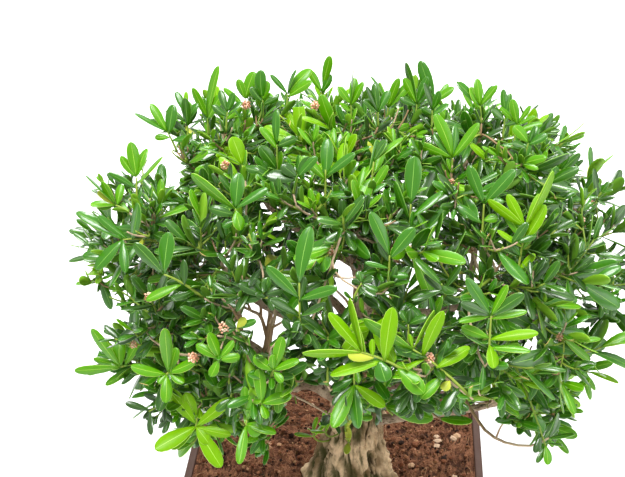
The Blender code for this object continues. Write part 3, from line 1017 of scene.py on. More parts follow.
@dataclass(frozen=True)
class Soil:
    """Fibrous soil that fills the pot and rises to a level patch under the trunk."""

    pot: Pot
    foot: tuple[float, float]  # where the trunk stands
    below_rim: float = 0.001
    mound: float = 0.004
    flat_radius: float = 0.058
    rings: int = 120
    lump: float = 0.0015  # height of the lumps
    lump_sizes: tuple[float, float, float] = (0.018, 0.009, 0.0034)
    sunk: float = 0.0006  # how far the lumps lie under the even height
    foot_clear: float = 0.030  # bare of crumbs round the trunk's foot
    wall_clear: float = 0.003  # and along the wall
    crumbs: int = 3200
    crumb_radii: tuple[float, float] = (0.0005, 0.0011)
    coarse: tuple[float, ...] = (1.0, 1.6, 2.4)  # by which these shares of the radii grow
    coarse_shares: tuple[float, ...] = (0.70, 0.22, 0.08)
    crumb_flat: float = 0.8  # height over width
    crumb_shares: tuple[float, ...] = (0.16, 0.26, 0.30, 0.19, 0.09)  # of each finish
    fibres: int = 620
    fibre_clear: float = 0.004  # between their middle lines and the wall
    fibre_bend: float = 1.4  # the most, in radians
    fibre_steps: tuple[float, float] = (0.0007, 0.0026)  # between two points of one
    fibre_radii: tuple[float, float] = (0.00010, 0.00026)
    small_chips: int = 12
    small_chip_radii: tuple[float, float] = (0.0008, 0.0018)
    chip_radius: float = 0.0034
    chip_flat: float = 0.5  # height over width
    chips: tuple[tuple[float, float], ...] = (  # where the large ones lie, in plan
        (0.082, 0.058),
        (0.083, 0.053),
        (0.082, 0.048),
        (0.096, 0.058),
        (0.099, 0.061),
        (0.096, 0.011),
        (0.061, 0.020),
    )
    seed: int = 3

    @property
    def edge_height(self) -> float:
        """Height of the soil at the pot's wall."""
        return self.pot.height - self.below_rim

    def lumpy(self, spot: Array) -> Array:
        """How far the soil stands up or sinks at places in plan, about -1 to 1, by three sizes
        of ripples whose crests are rounded and whose troughs are sharp.

        Args:
            spot: The places.

        Returns:
            A number for each.
        """
        place = np.concatenate([spot, np.zeros(spot.shape[:-1] + (1,))], -1)
        large, medium, small = self.lump_sizes
        coarse = ripples(place, (large,) * 3, self.seed)
        middle = np.abs(ripples(place, (medium,) * 3, self.seed + 1, 40)) * 2 - 1
        fine = np.abs(ripples(place, (small,) * 3, self.seed + 2, 60)) * 2 - 1
        return 0.55 * coarse + 0.50 * middle + 0.35 * fine

    def height(self, spot: Array) -> Array:
        """The soil's height at places in plan: level under the trunk, falling to the wall, and
        lumpy.

        Args:
            spot: The places.

        Returns:
            A height for each.
        """
        away = np.linalg.norm(spot - np.array(self.foot), axis=-1)
        reach = self.pot.width / 2 - self.pot.wall
        share = ease((reach - away) / (reach - self.flat_radius))
        return self.edge_height + self.mound * share - self.sunk + self.lump * self.lumpy(spot)

    def build(self) -> None:
        """The lumpy top on rings that grow from the trunk's foot to the wall, the sides down
        the inside of the pot, and a pole at the middle of the top and of the floor."""
        pot = self.pot
        inside = pot.half(self.edge_height) - pot.wall - CLEAR
        corner = pot.corner - pot.wall
        rim = pot.ring(inside, corner)[0]
        share = (np.linspace(0.05, 1, self.rings) ** 0.8)[:, None, None]
        foot = np.array(self.foot)
        spots = foot + (rim - foot) * share
        top = np.concatenate([spots, self.height(spots)[..., None]], -1)
        level = np.array([self.edge_height - 0.004, pot.height / 2, pot.floor + CLEAR])
        walls = pot.rings(pot.half(level) - pot.wall - CLEAR, np.full(3, corner), level)
        rings = np.concatenate([top, walls])
        poles = np.array([[*foot, top[0, 0, 2]], [0, 0, level[-1]]])
        hollow = np.zeros(len(rings) * pot.around + len(poles))
        # Painted shade: the troughs of the lumps get a high hollow value, which the earth's finish darkens.
        hollow[: self.rings * pot.around] = np.clip(0.5 - 0.55 * self.lumpy(spots), 0, 1).ravel()
        bed = Surface()
        bed.add_rings(rings, poles, hollow, inward=True)
        settle(bed.build("soil_bed", [EARTH.material()]), "soil", "soil")
        self.scatter()

    def spots(self, count: int, rng: np.random.Generator) -> Array:
        """Places in plan, evenly spread inside the wall and clear of the trunk's foot.

        Args:
            count: How many.
            rng: The random draws.

        Returns:
            A row for each place.
        """
        reach = self.pot.width / 2 - self.pot.wall - self.wall_clear
        found = rng.uniform(-reach, reach, (count * 3, 2))
        corner = self.pot.corner
        over = np.maximum(np.abs(found) - (reach - corner), 0)
        keep = np.linalg.norm(over, axis=1) < corner
        keep &= np.linalg.norm(found - np.array(self.foot), axis=1) > self.foot_clear
        return found[keep][:count]

    def scatter(self) -> None:
        """Crumbs, pale chips and fibres on the soil."""
        rng = np.random.default_rng(self.seed)
        crumbs, chips = Surface(), Surface()
        count = self.crumbs
        size = rng.uniform(*self.crumb_radii, count)
        size *= rng.choice(self.coarse, count, p=self.coarse_shares)
        kind = rng.choice(len(CRUMBS), count, p=self.crumb_shares)
        self.drop(crumbs, self.spots(count, rng), size, self.crumb_flat, kind, rng)
        settle(crumbs.build("soil_crumbs", [f.material() for f in CRUMBS], False), "soil")
        small = self.spots(self.small_chips, rng)
        large = np.full(len(self.chips), self.chip_radius)
        size = np.concatenate([large, rng.uniform(*self.small_chip_radii, len(small))])
        spot = np.concatenate([np.array(self.chips), small])
        kind = rng.integers(len(CHIPS), size=len(spot))
        self.drop(chips, spot, size, self.chip_flat, kind, rng)
        settle(chips.build("soil_chips", [f.material() for f in CHIPS], False), "soil")
        self.lay_fibres(rng)

    def drop(
        self,
        surface: Surface,
        spot: Array,
        size: Array,
        flat: float,
        finish: Array,
        rng: np.random.Generator,
    ) -> None:
        """Lays lumps on the soil, a little sunk.

        Args:
            surface: Gathers the lumps.
            spot: Where each lies, in plan.
            size: Radius of each.
            flat: Height over width.
            finish: Number of each one's finish.
            rng: Draws their shapes.
        """
        height = self.height(spot) + size * flat * 0.35
        wide = rng.uniform(0.75, 1.3, (len(size), 3)) * size[:, None]
        wide[:, 2] *= flat
        surface.add_lumps(np.concatenate([spot, height[:, None]], 1), wide, finish, rng)

    def lay_fibres(self, rng: np.random.Generator, knots: int = 6) -> None:
        """Thin strands: an arc in plan that follows the soil's height and lies highest in its
        middle.

        Args:
            rng: The random draws.
            knots: Points along each strand.
        """
        count = self.fibres
        start = self.spots(count, rng)
        turn = rng.uniform(0, TURN, count)[:, None]
        bend = rng.uniform(-self.fibre_bend, self.fibre_bend, count)[:, None]
        bend = bend * np.linspace(0, 1, knots)
        step = rng.uniform(*self.fibre_steps, count)[:, None] * np.ones(knots)
        x = start[:, :1] + np.cumsum(np.cos(turn + bend) * step, 1)
        y = start[:, 1:] + np.cumsum(np.sin(turn + bend) * step, 1)
        spot = np.stack([x, y], -1)
        limit = self.pot.width / 2 - self.pot.wall - self.fibre_clear
        spot = np.clip(spot, -limit, limit)
        rise = 0.0004 + 0.0005 * np.sin(np.linspace(0, math.pi, knots))
        paths = np.concatenate([spot, (self.height(spot) + rise)[..., None]], -1)
        radii = rng.uniform(*self.fibre_radii, count)[:, None] * np.ones(knots)
        fibres = Surface()
        fibres.add_tubes(paths, radii, 4, rng.integers(len(FIBRES), size=count))
        settle(fibres.build("soil_fibres", [f.material() for f in FIBRES]), "soil")


# ---- Limbs --------------------------------------------------------------------------------
@dataclass(frozen=True)
class Bough:
    """One limb and the mass of foliage at its tip.

    Attributes:
        name: Its name, shared with its mass.
        azimuth: Round the crown from +X, in degrees.
        out: Share of the crown's half width.
        up: Share of the crown's height over its middle.
        parent: The limb it grows from.
        fork: Share of the parent's length where it leaves.
        radius: Radius at its foot.
    """

    name: str
    azimuth: float
    out: float
    up: float
    parent: str
    fork: float
    radius: float


BOUGHS = (
    Bough("leader", 90, 0.08, 0.66, "trunk", 0.97, 0.0070),
    Bough("left", 185, 0.74, -0.02, "trunk", 0.74, 0.0066),
    Bough("right", 6, 0.76, -0.10, "trunk", 0.80, 0.0066),
    Bough("back", 96, 0.56, 0.46, "trunk", 0.88, 0.0060),
    Bough("front", 281, 0.64, 0.02, "trunk", 0.92, 0.0054),
    Bough("right_low", 336, 0.70, -0.66, "trunk", 0.60, 0.0050),
    Bough("back_low", 92, 0.68, -0.50, "trunk", 0.66, 0.0048),
    Bough("left_low", 200, 0.76, -0.64, "left", 0.40, 0.0036),
    Bough("front_left_low", 235, 0.66, -0.42, "left", 0.22, 0.0040),
    Bough("back_left", 144, 0.74, 0.06, "back", 0.24, 0.0044),
    Bough("back_right", 46, 0.74, 0.12, "right", 0.30, 0.0044),
    Bough("front_left", 231, 0.66, 0.40, "leader", 0.22, 0.0040),
    Bough("front_right", 312, 0.66, 0.36, "leader", 0.34, 0.0038),
    Bough("front_top", 268, 0.44, 0.60, "leader", 0.46, 0.0034),
    Bough("top_left", 174, 0.46, 0.60, "leader", 0.58, 0.0032),
    Bough("top_right", 16, 0.42, 0.62, "leader", 0.70, 0.0030),
)


@dataclass(frozen=True)
class Trunk:
    """A short leaning trunk with fluted root ridges that twist and fade upwards."""

    foot: tuple[float, float] = (0.014, -0.011)
    ground: float = 0.0843
    height: float = 0.104
    neck: float = 0.0135  # radius at the top
    flare: float = 0.024  # added to the radius at the foot
    flare_fall: float = 0.050
    flutes: int = 7
    flute_depth: float = 0.17  # over the radius
    flute_twist: float = 0.9
    lean: tuple[float, float] = (0.010, 0.004)
    bend: float = 0.004
    round_from: float = 0.86  # share of the height where the top starts to close
    sunk: float = 0.003  # how far the scene's trunk goes under the soil
    root_size: Triple = (0.011, 0.011, 0.050)  # of the bark's ripples, each by its kind
    cord_size: Triple = (0.0060, 0.0060, 0.022)
    crack_size: Triple = (0.0040, 0.0040, 0.020)
    flake_size: Triple = (0.0022, 0.0022, 0.005)
    burl_size: Triple = (0.011, 0.011, 0.015)
    root_relief: float = 0.0030  # and their heights
    cord_relief: float = 0.0007
    crack_relief: float = 0.0007
    flake_relief: float = 0.00035
    burl_relief: float = 0.0015
    bark_seed: int = 11
    around: int = 260
    rings: int = 150

    def middle(self, share: Array) -> Array:
        """The centre line: it leans, with a slight bend to the left.

        Args:
            share: Share of the height.

        Returns:
            A point for each share.
        """
        share = np.asarray(share, float)
        x = self.foot[0] + self.lean[0] * share - np.sin(share * math.pi) * self.bend
        y = self.foot[1] + self.lean[1] * share
        return np.stack([x, y, self.ground + self.height * share], -1)

    def radius(self, share: Array) -> Array:
        """Mean radius: a neck, and a root flare that falls away with height."""
        return self.neck + self.flare * np.exp(-share * self.height / self.flare_fall)

    def flute(self, angle: Array, share: Array) -> Array:
        """How far the root ridges stand out, as a share of the radius.

        Args:
            angle: Angle round the trunk.
            share: Share of the height.

        Returns:
            A share of the radius for each pair.
        """
        depth = self.flute_depth * np.exp(-share * self.height / (1.3 * self.flare_fall))
        uneven = 1 + 0.35 * np.sin(2 * angle + 0.7)
        ridges = uneven * np.cos(self.flutes * (angle + self.flute_twist * share))
        return depth * (ridges + 0.24 * np.sin(3 * angle + 1.9))

    def bark(self, angle: Array, share: Array, ridge: Array) -> tuple[Array, Array]:
        """The bark: cords of wood run up along the twist, cracks open where a stretched ripple
        crosses zero, and low burls stand out.

        Args:
            angle: Angle round the trunk.
            share: Share of the height.
            ridge: How far the root ridges stand out, as a share of the radius.

        Returns:
            The height of the relief, and how deep in a crack or valley it lies, 0 to 1, for painted shade.
        """
        turned = angle + self.flute_twist * share
        skin = np.stack([np.cos(turned), np.sin(turned), np.zeros_like(turned)], -1)
        skin = skin * self.flare + UP * (share * self.height)[..., None]
        roots = ripples(skin, self.root_size, self.bark_seed, 30)
        crease = np.exp(-((roots / 0.34) ** 2))
        cords = ripples(skin, self.cord_size, self.bark_seed + 3, 36)
        crack = np.exp(-((ripples(skin, self.crack_size, self.bark_seed + 1, 36) / 0.16) ** 2))
        flakes = ripples(skin, self.flake_size, self.bark_seed + 2, 48)
        burls = np.maximum(ripples(skin, self.burl_size, self.bark_seed + 6, 30), -0.2)
        relief = self.root_relief * (np.abs(roots) ** 0.6 - 0.62) + self.burl_relief * burls
        relief = relief + self.cord_relief * cords - self.crack_relief * crack
        relief = relief + self.flake_relief * flakes
        valley = ease((0.02 - ridge) / 0.20)
        # Painted shade: valleys, creases and cracks darken, cords and burls stay paler; moss follows too.
        hollow = 0.50 * crease + 0.15 * crack + 0.62 * valley - 0.20 * cords - 0.22 * burls
        return relief, np.clip(hollow, 0, 1)

    def build(self) -> None:
        """The fluted trunk on a grid of angle and height, closed at both ends."""
        share = np.linspace(-self.sunk / self.height, 1.0, self.rings)[:, None]
        angle = (np.arange(self.around) * TURN / self.around)[None, :]
        rise = np.maximum(share, 0.0)
        over = np.maximum(0.0, rise - self.round_from) / (1.1 * (1 - self.round_from))
        ridge = self.flute(angle, rise)
        reach = self.radius(rise) * (1 + ridge) * np.sqrt(1 - over**2)
        out = np.stack([np.cos(angle), np.sin(angle), np.zeros_like(angle)], -1)
        relief, hollow = self.bark(angle, share, ridge)
        points = self.middle(share) + out * (reach + relief)[..., None]
        poles = np.stack([points[0].mean(0), points[-1].mean(0) + UP * 0.001])
        wood = Surface()
        wood.add_rings(points, poles, np.concatenate([hollow.ravel(), [0.5, 0.5]]))
        settle(wood.build("bark_trunk", [TRUNK_BARK.material()]), "bark", "trunk")


@dataclass(frozen=True)
class Dome:
    """The crown's reach: a dome over a hem, and the middles of the masses in it."""

    trunk: Trunk
    half_width: float = 0.190
    half_depth: float = 0.178
    upper: float = 0.106  # from its middle up
    lower: float = 0.150  # and down
    rise: float = 0.224  # of its middle over the soil
    squareness: float = 3.0
    hem_height: float = 0.078  # over the soil
    hem_front_rise: float = 0.110
    mass_radius: float = 0.082  # how far a mass may reach from its middle
    mass_half_height: float = 0.072

    @property
    def middle(self) -> Array:
        """The crown's middle."""
        return np.array([*self.trunk.foot, self.trunk.ground - CLEAR + self.rise])

    def place(self, azimuth: float, out: float, up: float) -> Array:
        """The place at an azimuth in degrees, a share of the way out and a share of the way up.

        Args:
            azimuth: Azimuth in degrees.
            out: Share of the way out.
            up: Share of the way up.

        Returns:
            The place.
        """
        turn = math.radians(azimuth)
        flat = np.array([self.half_width * math.cos(turn), self.half_depth * math.sin(turn), 0.0])
        return self.middle + flat * out + UP * self.upper * up

    def mass(self, bough: Bough) -> Array:
        """The middle of a bough's foliage."""
        return self.place(bough.azimuth, bough.out, bough.up)

    def masses(self) -> Array:
        """The middles of all the masses, in the boughs' order."""
        return np.array([self.mass(bough) for bough in BOUGHS])

    def level(self, points: Array) -> Array:
        """0 in the middle of the crown and 1 on its dome, by a rounded-box norm whose height
        differs above and below.

        Args:
            points: The places.

        Returns:
            A number for each.
        """
        offset = points - self.middle
        tall = np.where(offset[..., 2] > 0, self.upper, self.lower)
        flat = np.hypot(offset[..., 0] / self.half_width, offset[..., 1] / self.half_depth)
        total = flat**self.squareness + np.abs(offset[..., 2] / tall) ** self.squareness
        return total ** (1 / self.squareness)

    def over_hem(self, points: Array) -> Array:
        """Height over the hem, below which no leaf hangs. The hem rises towards the front."""
        forward = np.maximum(0.0, (self.middle[1] - points[..., 1]) / self.half_depth)
        return points[..., 2] - (self.trunk.ground + self.hem_height + self.hem_front_rise * forward**1.5)

    def owner(self, points: Array) -> Array:
        """Number of the mass whose middle is nearest."""
        return np.linalg.norm(points[..., None, :] - self.masses(), axis=-1).argmin(-1)


@dataclass
class Limbs:
    """The trunk and its boughs, with the solids' centre lines and finer bark."""

    trunk: Trunk
    dome: Dome
    tip_radius: float = 0.0026
    knots: int = 8
    burls: int = 6  # on each bough
    burl_length: float = 0.0028
    burl_turn: float = 0.75  # round the bough, in radians
    cord_size: Triple = (0.0040, 0.0040, 0.030)  # of the bark's ripples, each by its kind
    crack_size: Triple = (0.0032, 0.0032, 0.013)
    swell_size: Triple = (0.03, 0.03, 0.020)
    bark_radius: float = 0.005  # of the tube that the bark is drawn on
    bark_wind: float = 14.0  # radians for each metre
    around: int = 26
    step: float = 0.0011  # along a bough, between rings
    paths: dict[str, Array] = field(default_factory=dict)

    def __post_init__(self) -> None:
        """Works out every bough's centre line, a parent's before its children's."""
        for bough in BOUGHS:
            self.paths[bough.name] = self.path(bough)

    def point(self, name: str, share: float) -> tuple[Array, Array]:
        """A point on a limb's centre line, and the limb's direction there.

        Args:
            name: The limb's name.
            share: Share of its length.

        Returns:
            The point and the direction.
        """
        if name == "trunk":
            low = min(share, 0.99)
            ends = self.trunk.middle(np.array([share, low, low + 0.01]))
            return ends[0], unit(ends[2] - ends[1])
        path = self.paths[name]
        place = share * (len(path) - 1)
        i = min(int(place), len(path) - 2)
        return path[i] + (path[i + 1] - path[i]) * (place - i), unit(path[i + 1] - path[i])

    def path(self, bough: Bough, count: int = 0) -> Array:
        """A bough's centre line, a cubic curve that leaves between its parent's direction and
        its own and ends in the inner part of its foliage, heading into it.

        Args:
            bough: The bough.
            count: Number of points, or 0 for the usual number.

        Returns:
            Points, count by 3.
        """
        start, along = self.point(bough.parent, bough.fork)
        middle = self.dome.mass(bough)
        away = unit(middle - start)
        turn = math.radians(bough.azimuth)
        outward = np.array([math.cos(turn), math.sin(turn), 0.0])
        tip = middle - away * self.dome.mass_radius * 0.34 - UP * self.dome.mass_half_height * 0.14
        span = np.linalg.norm(tip - start)
        leave = start + unit(along * 0.35 + outward * 0.65 + UP * 0.10) * span * 0.42
        lift = 0.42 if bough.up > -0.5 else 0.05
        arrive = tip - unit(away + UP * lift) * span * 0.34
        return bezier(start, leave, arrive, tip, count or self.knots)

    def stretches(self) -> tuple[Array, Array, Array]:
        """Every bough as straight stretches: starts, ends and radii.

        Returns:
            The starts, the ends and the radii.
        """
        starts, ends, radii = [], [], []
        for bough in BOUGHS:
            path = self.paths[bough.name]
            starts.append(path[:-1])
            ends.append(path[1:])
            radii.append(np.linspace(bough.radius, self.tip_radius, self.knots)[:-1])
        return np.concatenate(starts), np.concatenate(ends), np.concatenate(radii)

    def build(self) -> None:
        """The trunk, then each bough."""
        self.trunk.build()
        finish = BOUGH_BARK.material()
        for number, bough in enumerate(BOUGHS):
            self.build_bough(bough, number, finish)

    def bark(self, angle: Array, place: Array, length: float, seed: int) -> tuple[Array, Array]:
        """A bough's bark: cords and cracks that wind along it, slow swellings and low burls.

        Args:
            angle: Angle round the bough.
            place: Distance along it.
            length: Its length.
            seed: Draws the bark.

        Returns:
            The relief as a share of the radius, and how deep in a crack it lies, 0 to 1, for painted shade.
        """
        flat = np.broadcast_to(place, (len(place), self.around))
        turned = angle + flat * self.bark_wind
        skin = np.stack([np.cos(turned) * self.bark_radius, np.sin(turned) * self.bark_radius, flat], -1)
        cords = ripples(skin, self.cord_size, seed, 28)
        crack = np.exp(-((ripples(skin, self.crack_size, seed + 1, 28) / 0.18) ** 2))
        swell = ripples(skin, self.swell_size, seed + 2, 12)
        rng = np.random.default_rng(seed)
        burls = np.zeros(flat.shape)
        for spot, facing in zip(rng.uniform(0.12, 0.95, self.burls), rng.uniform(0, TURN, self.burls)):
            apart = (angle - facing + math.pi) % TURN - math.pi
            near = ((place - spot * length) / self.burl_length) ** 2
            burls += np.exp(-near - (apart / self.burl_turn) ** 2)
        relief = 0.09 * cords - 0.10 * crack + 0.07 * swell + 0.30 * burls
        # Painted shade: the finish darkens the bark by how deep in a crack it lies.
        return relief, np.clip(0.75 * crack - 0.2 * cords, 0, 1)

    def build_bough(self, bough: Bough, number: int, finish: bpy.types.Material) -> None:
        """One bough on a grid of length and angle: a taper with a collar where it leaves its
        parent.

        Args:
            bough: The bough.
            number: Its number, which seeds its bark.
            finish: The bark.
        """
        rough = self.path(bough, 60)
        length = np.linalg.norm(np.diff(rough, axis=0), axis=1).sum()
        count = int(length / self.step)
        path = self.path(bough, count)
        share = np.linspace(0, 1, count)
        radius = bough.radius + (self.tip_radius - bough.radius) * share
        radius = radius * (0.78 + 0.60 * np.exp(-share * length / (2.2 * bough.radius)))
        side, other = (way[0] for way in across_paths(path[None]))
        angle = (np.arange(self.around) * TURN / self.around)[None, :]
        out = side[:, None] * np.cos(angle)[..., None] + other[:, None] * np.sin(angle)[..., None]
        relief, hollow = self.bark(angle, share[:, None] * length, length, BARK_SEED + number * 5)
        points = path[:, None] + out * (radius[:, None] * (1 + relief))[..., None]
        wood = Surface()
        wood.add_rings(points, path[[0, -1]], np.concatenate([hollow.ravel(), [0.2, 0.2]]))
        settle(wood.build("bark_" + bough.name, [finish]), "bark", "bough_" + bough.name)


# ---- Leaves -------------------------------------------------------------------------------
VECTORS = ("root", "along", "face")  # a leaf's columns of three numbers
NUMBERS = ("length", "width", "fold", "curl", "sway", "twist", "reach", "age")  # and of one
ROW = 3 * len(VECTORS) + len(NUMBERS)
LENGTH, REACH, AGE = (3 * len(VECTORS) + NUMBERS.index(name) for name in ("length", "reach", "age"))
WHOLE = 0.9992  # reach of a leaf that hasn't been clipped


@dataclass
class Leaves:
    """Leaves gathered for one piece, one row of numbers each.

    A row says where the leaf's root is, the way it points and the way it faces, then its length
    and width, how far its halves fold up, how far its tip curls down, sways aside and twists,
    the share of it that the shears left, and its age.

    Attributes:
        rows: Blocks of rows, with the columns that VECTORS and NUMBERS name.
    """

    rows: list[Array] = field(default_factory=list)

    def add(self, **columns: Array | float) -> None:
        """Adds leaves.

        Args:
            columns: An array or one value for each name in VECTORS and NUMBERS.
        """
        count = len(columns["root"])
        parts = [np.broadcast_to(columns[name], (count, 3)) for name in VECTORS]
        parts += [np.broadcast_to(columns[name], count)[:, None] for name in NUMBERS]
        self.rows.append(np.concatenate(parts, 1))

    def all(self) -> Array:
        """Every leaf's row."""
        return np.concatenate([np.zeros((0, ROW)), *self.rows])


@dataclass(frozen=True)
class LeafShape:
    """The outline and section of a leaf, as a closed sheet with a raised rib and a pale margin.

    Attributes:
        stations: Shares of the length where the section is set.
        base_power: Half the width grows with this power of the distance from the root.
        tip_power: And with this power of the distance from the tip, so that the tip is round.
        margin: Width of the pale margin, as a share of half the width.
        rib: Half the rib's width at the root, as a share of half the width.
        thickness: Thickness of the blade.
    """

    stations: tuple[float, ...]
    base_power: float = 0.86
    tip_power: float = 0.50
    margin: float = 0.042
    rib: float = 0.040
    thickness: float = 0.0005

    def half_width(self, share: Array) -> Array:
        """Half the width over its greatest, by the two powers, with a stalk at the root.

        Args:
            share: Share of the length, from the root.

        Returns:
            Half widths as shares of the greatest.
        """
        best = self.base_power / (self.base_power + self.tip_power)
        top = best**self.base_power * (1 - best) ** self.tip_power
        blade = share**self.base_power * (1 - share) ** self.tip_power / top
        return np.maximum(blade, 0.10 * (1 - share) ** self.tip_power)

    def section(self, share: Array) -> tuple[Array, Array]:
        """The section's columns: margin, blade and rib on the left, the same on the right, and
        the keel underneath.

        Args:
            share: Shares of the length, any shape.

        Returns:
            Places across the section, -1 to 1, and heights as shares of the thickness, each of
            the shares' shape by 7.
        """
        rib = self.rib * (1 - 0.55 * share)
        one = np.ones_like(share)
        inner = (1 - self.margin) * one
        across = np.stack([-one, -inner, -rib, rib, inner, one, 0 * one], -1)
        lift = np.array([0.0, 0.42, 0.62, 0.62, 0.42, 0.0, -0.50])
        return across, np.broadcast_to(lift, across.shape)

    def points(self, rows: Array) -> Array:
        """Points of every leaf.

        The middle line goes out along the leaf and bends away from its face with the square of
        the share, and to the side by its sway. The blade rises from the rib by its fold, and the
        section turns by its twist towards the tip.

        Args:
            rows: Leaves by columns.

        Returns:
            Leaves by stations by 7 by 3.
        """
        root, along, face = rows[:, 0:3], rows[:, 3:6], rows[:, 6:9]
        length, width, fold, curl, sway, twist, reach = rows[:, LENGTH:AGE].T
        side = np.cross(along, face)
        share = np.asarray(self.stations)[None, :] * reach[:, None]
        across, lift = self.section(share)
        half = self.half_width(share) * width[:, None] / 2
        bent = curl[:, None] * share**2
        line = (
            root[:, None]
            + along[:, None] * (share * length[:, None])[..., None]
            - face[:, None] * (bent * length[:, None])[..., None]
            + side[:, None] * (sway[:, None] * share**2 * length[:, None])[..., None]
        )
        up = unit(face[:, None] + along[:, None] * (2 * bent / np.maximum(share, 0.05))[..., None])
        turn = (twist[:, None] * share)[..., None]
        wide = unit(np.broadcast_to(side[:, None], up.shape) * np.cos(turn) + up * np.sin(turn))
        high = np.cross(wide, unit(np.gradient(line, axis=1)))
        rise = np.abs(across) * (half * fold[:, None])[..., None] - 0.16 * half[..., None] * across**4
        rise = rise + lift * self.thickness
        return (
            line[:, :, None]
            + wide[:, :, None] * (across * half[..., None])[..., None]
            + high[:, :, None] * rise[..., None]
        )

    def add_to(self, surface: Surface, rows: Array) -> None:
        """Adds leaves to a surface, each face with its blade, line, underside or cut edge.

        Args:
            surface: Gathers them.
            rows: Leaves by columns.
        """
        if not len(rows):
            return
        points = self.points(rows)
        count, stations, columns, _ = points.shape
        walls = ring_faces(stations, columns)
        ends = np.stack([np.arange(columns)[::-1], (stations - 1) * columns + np.arange(columns)])
        shift = (np.arange(count) * stations * columns)[:, None, None]
        age = rows[:, AGE].astype(int)
        line = FIRST_LINE + LINE_OF_AGE[age]
        under = FIRST_UNDER + UNDER_OF_AGE[age]
        strips = np.stack([line, age, line, age, line, under, under], 1)
        finish = np.tile(strips, (1, stations - 1))
        end = np.stack([line, np.where(rows[:, REACH] < WHOLE, CUT, age)], 1)
        blocks = [(block + shift).reshape(-1, block.shape[1]) for block in (walls, ends)]
        surface.add(points, blocks, [finish.ravel(), end.ravel()])


LONG_LEAF = LeafShape((0.0, 0.15, 0.35, 0.57, 0.77, 0.91, 0.975, 1.0))
SMALL_LEAF = LeafShape((0.0, 0.26, 0.60, 0.88, 1.0), base_power=0.80, tip_power=0.55, thickness=0.0003)


# ---- Spaces without leaves ----------------------------------------------------------------
@dataclass(frozen=True)
class Opening:
    """A gap in the foliage, open towards the viewpoint: a cone from there that no leaf enters.

    Attributes:
        name: Its name.
        x: Where the cone's axis meets the upright plane through the trunk's foot.
        z: Its height there.
        radius: The cone's radius there.
    """

    name: str
    x: float
    z: float
    radius: float

    def holds(self, points: Array, spare: float = 0.0) -> Array:
        """True for each point inside the cone, or closer to it than spare.

        Args:
            points: The points.
            spare: How much wider than the cone.

        Returns:
            True or False for each.
        """
        eye = np.array(VIEWPOINT)
        way = np.array([self.x, Trunk.foot[1], self.z]) - eye
        share = ((points - eye) @ way) / (way @ way)
        apart = np.linalg.norm(points - eye - share[..., None] * way, axis=-1)
        return apart < self.radius * share + spare


@dataclass(frozen=True)
class Screen:
    """The space in front of a listed shoot, as the viewpoint sees it.

    Attributes:
        place: The shoot's tip.
        radius: The radius kept clear.
        depth: How far in front of the tip the space starts.
    """

    place: Array
    radius: float
    depth: float = 0.003

    def holds(self, points: Array) -> Array:
        """True for each point inside the radius and nearer to the viewpoint than the tip.

        Args:
            points: The points.

        Returns:
            True or False for each.
        """
        offset = points - self.place
        ahead = offset @ TOWARD
        across = np.linalg.norm(offset - ahead[..., None] * TOWARD, axis=-1)
        return (ahead > self.depth) & (across < self.radius)


OPENINGS = (
    # The soil and the trunk's foot show under the front of the crown.
    Opening("soil_left", -0.019, 0.166, 0.015),
    Opening("soil_front_left", -0.025, 0.121, 0.024),
    Opening("trunk_foot", 0.017, 0.093, 0.029),
    Opening("soil_middle", 0.048, 0.104, 0.023),
    Opening("soil_right", 0.073, 0.120, 0.025),
    Opening("soil_far_right", 0.101, 0.134, 0.015),
    Opening("soil_by_trunk", 0.049, 0.139, 0.016),
    Opening("trunk_top", 0.022, 0.137, 0.011),
    # The background shows beside the pot and at the crown's left edge.
    Opening("under_right", 0.134, 0.116, 0.023),
    Opening("right_of_pot", 0.111, 0.168, 0.009),
    Opening("under_left", -0.172, 0.098, 0.031),
    Opening("under_left_edge", -0.185, 0.134, 0.017),
    Opening("left_notch", -0.179, 0.248, 0.012),
    Opening("left_notch_end", -0.162, 0.258, 0.004),
    Opening("left_bay", -0.122, 0.380, 0.006),
    Opening("left_bay_inner", -0.111, 0.380, 0.006),
    Opening("left_step", -0.141, 0.368, 0.007),
    Opening("left_step_low", -0.146, 0.375, 0.007),
    # The sky dips between the sprays of the crest.
    Opening("crest_notch_far_left", -0.105, 0.413, 0.006),
    Opening("crest_notch_left", -0.088, 0.422, 0.005),
    Opening("crest_notch_inner_left", -0.066, 0.430, 0.008),
    Opening("crest_dip_left", -0.046, 0.437, 0.004),
    Opening("crest_dip_inner", -0.032, 0.436, 0.006),
    Opening("crest_dip_top", -0.015, 0.442, 0.006),
    Opening("crest_notch_top", 0.004, 0.437, 0.008),
    Opening("crest_notch_middle", 0.015, 0.438, 0.008),
    Opening("crest_notch_inner_right", 0.025, 0.437, 0.005),
    Opening("crest_dip_right", 0.038, 0.438, 0.007),
    Opening("crest_notch_right", 0.063, 0.438, 0.008),
    Opening("crest_dip_far_right", 0.078, 0.441, 0.008),
    Opening("crest_notch_far_right", 0.111, 0.429, 0.006),
    Opening("crest_notch_end", 0.119, 0.421, 0.006),
    # Windows through the crown, with branches in them.
    Opening("branch_window_left", -0.062, 0.242, 0.007),
    Opening("branch_window_right", -0.044, 0.237, 0.008),
    Opening("branch_window_foot", -0.053, 0.226, 0.006),
    Opening("branch_window_top", -0.051, 0.252, 0.006),
    Opening("middle_window", 0.009, 0.281, 0.007),
    Opening("middle_window_top", 0.006, 0.295, 0.005),
    Opening("middle_window_foot", 0.002, 0.262, 0.006),
    # Chinks.
    Opening("right_chink", 0.054, 0.286, 0.003),
    Opening("low_right_chink", 0.137, 0.227, 0.005),
    Opening("left_chink", -0.149, 0.324, 0.003),
    Opening("upper_left_chink", -0.107, 0.367, 0.005),
    Opening("upper_right_chink", 0.093, 0.390, 0.002),
    Opening("far_right_chink", 0.093, 0.298, 0.004),
    Opening("inner_chink", -0.047, 0.335, 0.003),
    Opening("inner_right_chink", 0.036, 0.264, 0.002),
    Opening("inner_left_chink", -0.078, 0.335, 0.002),
)
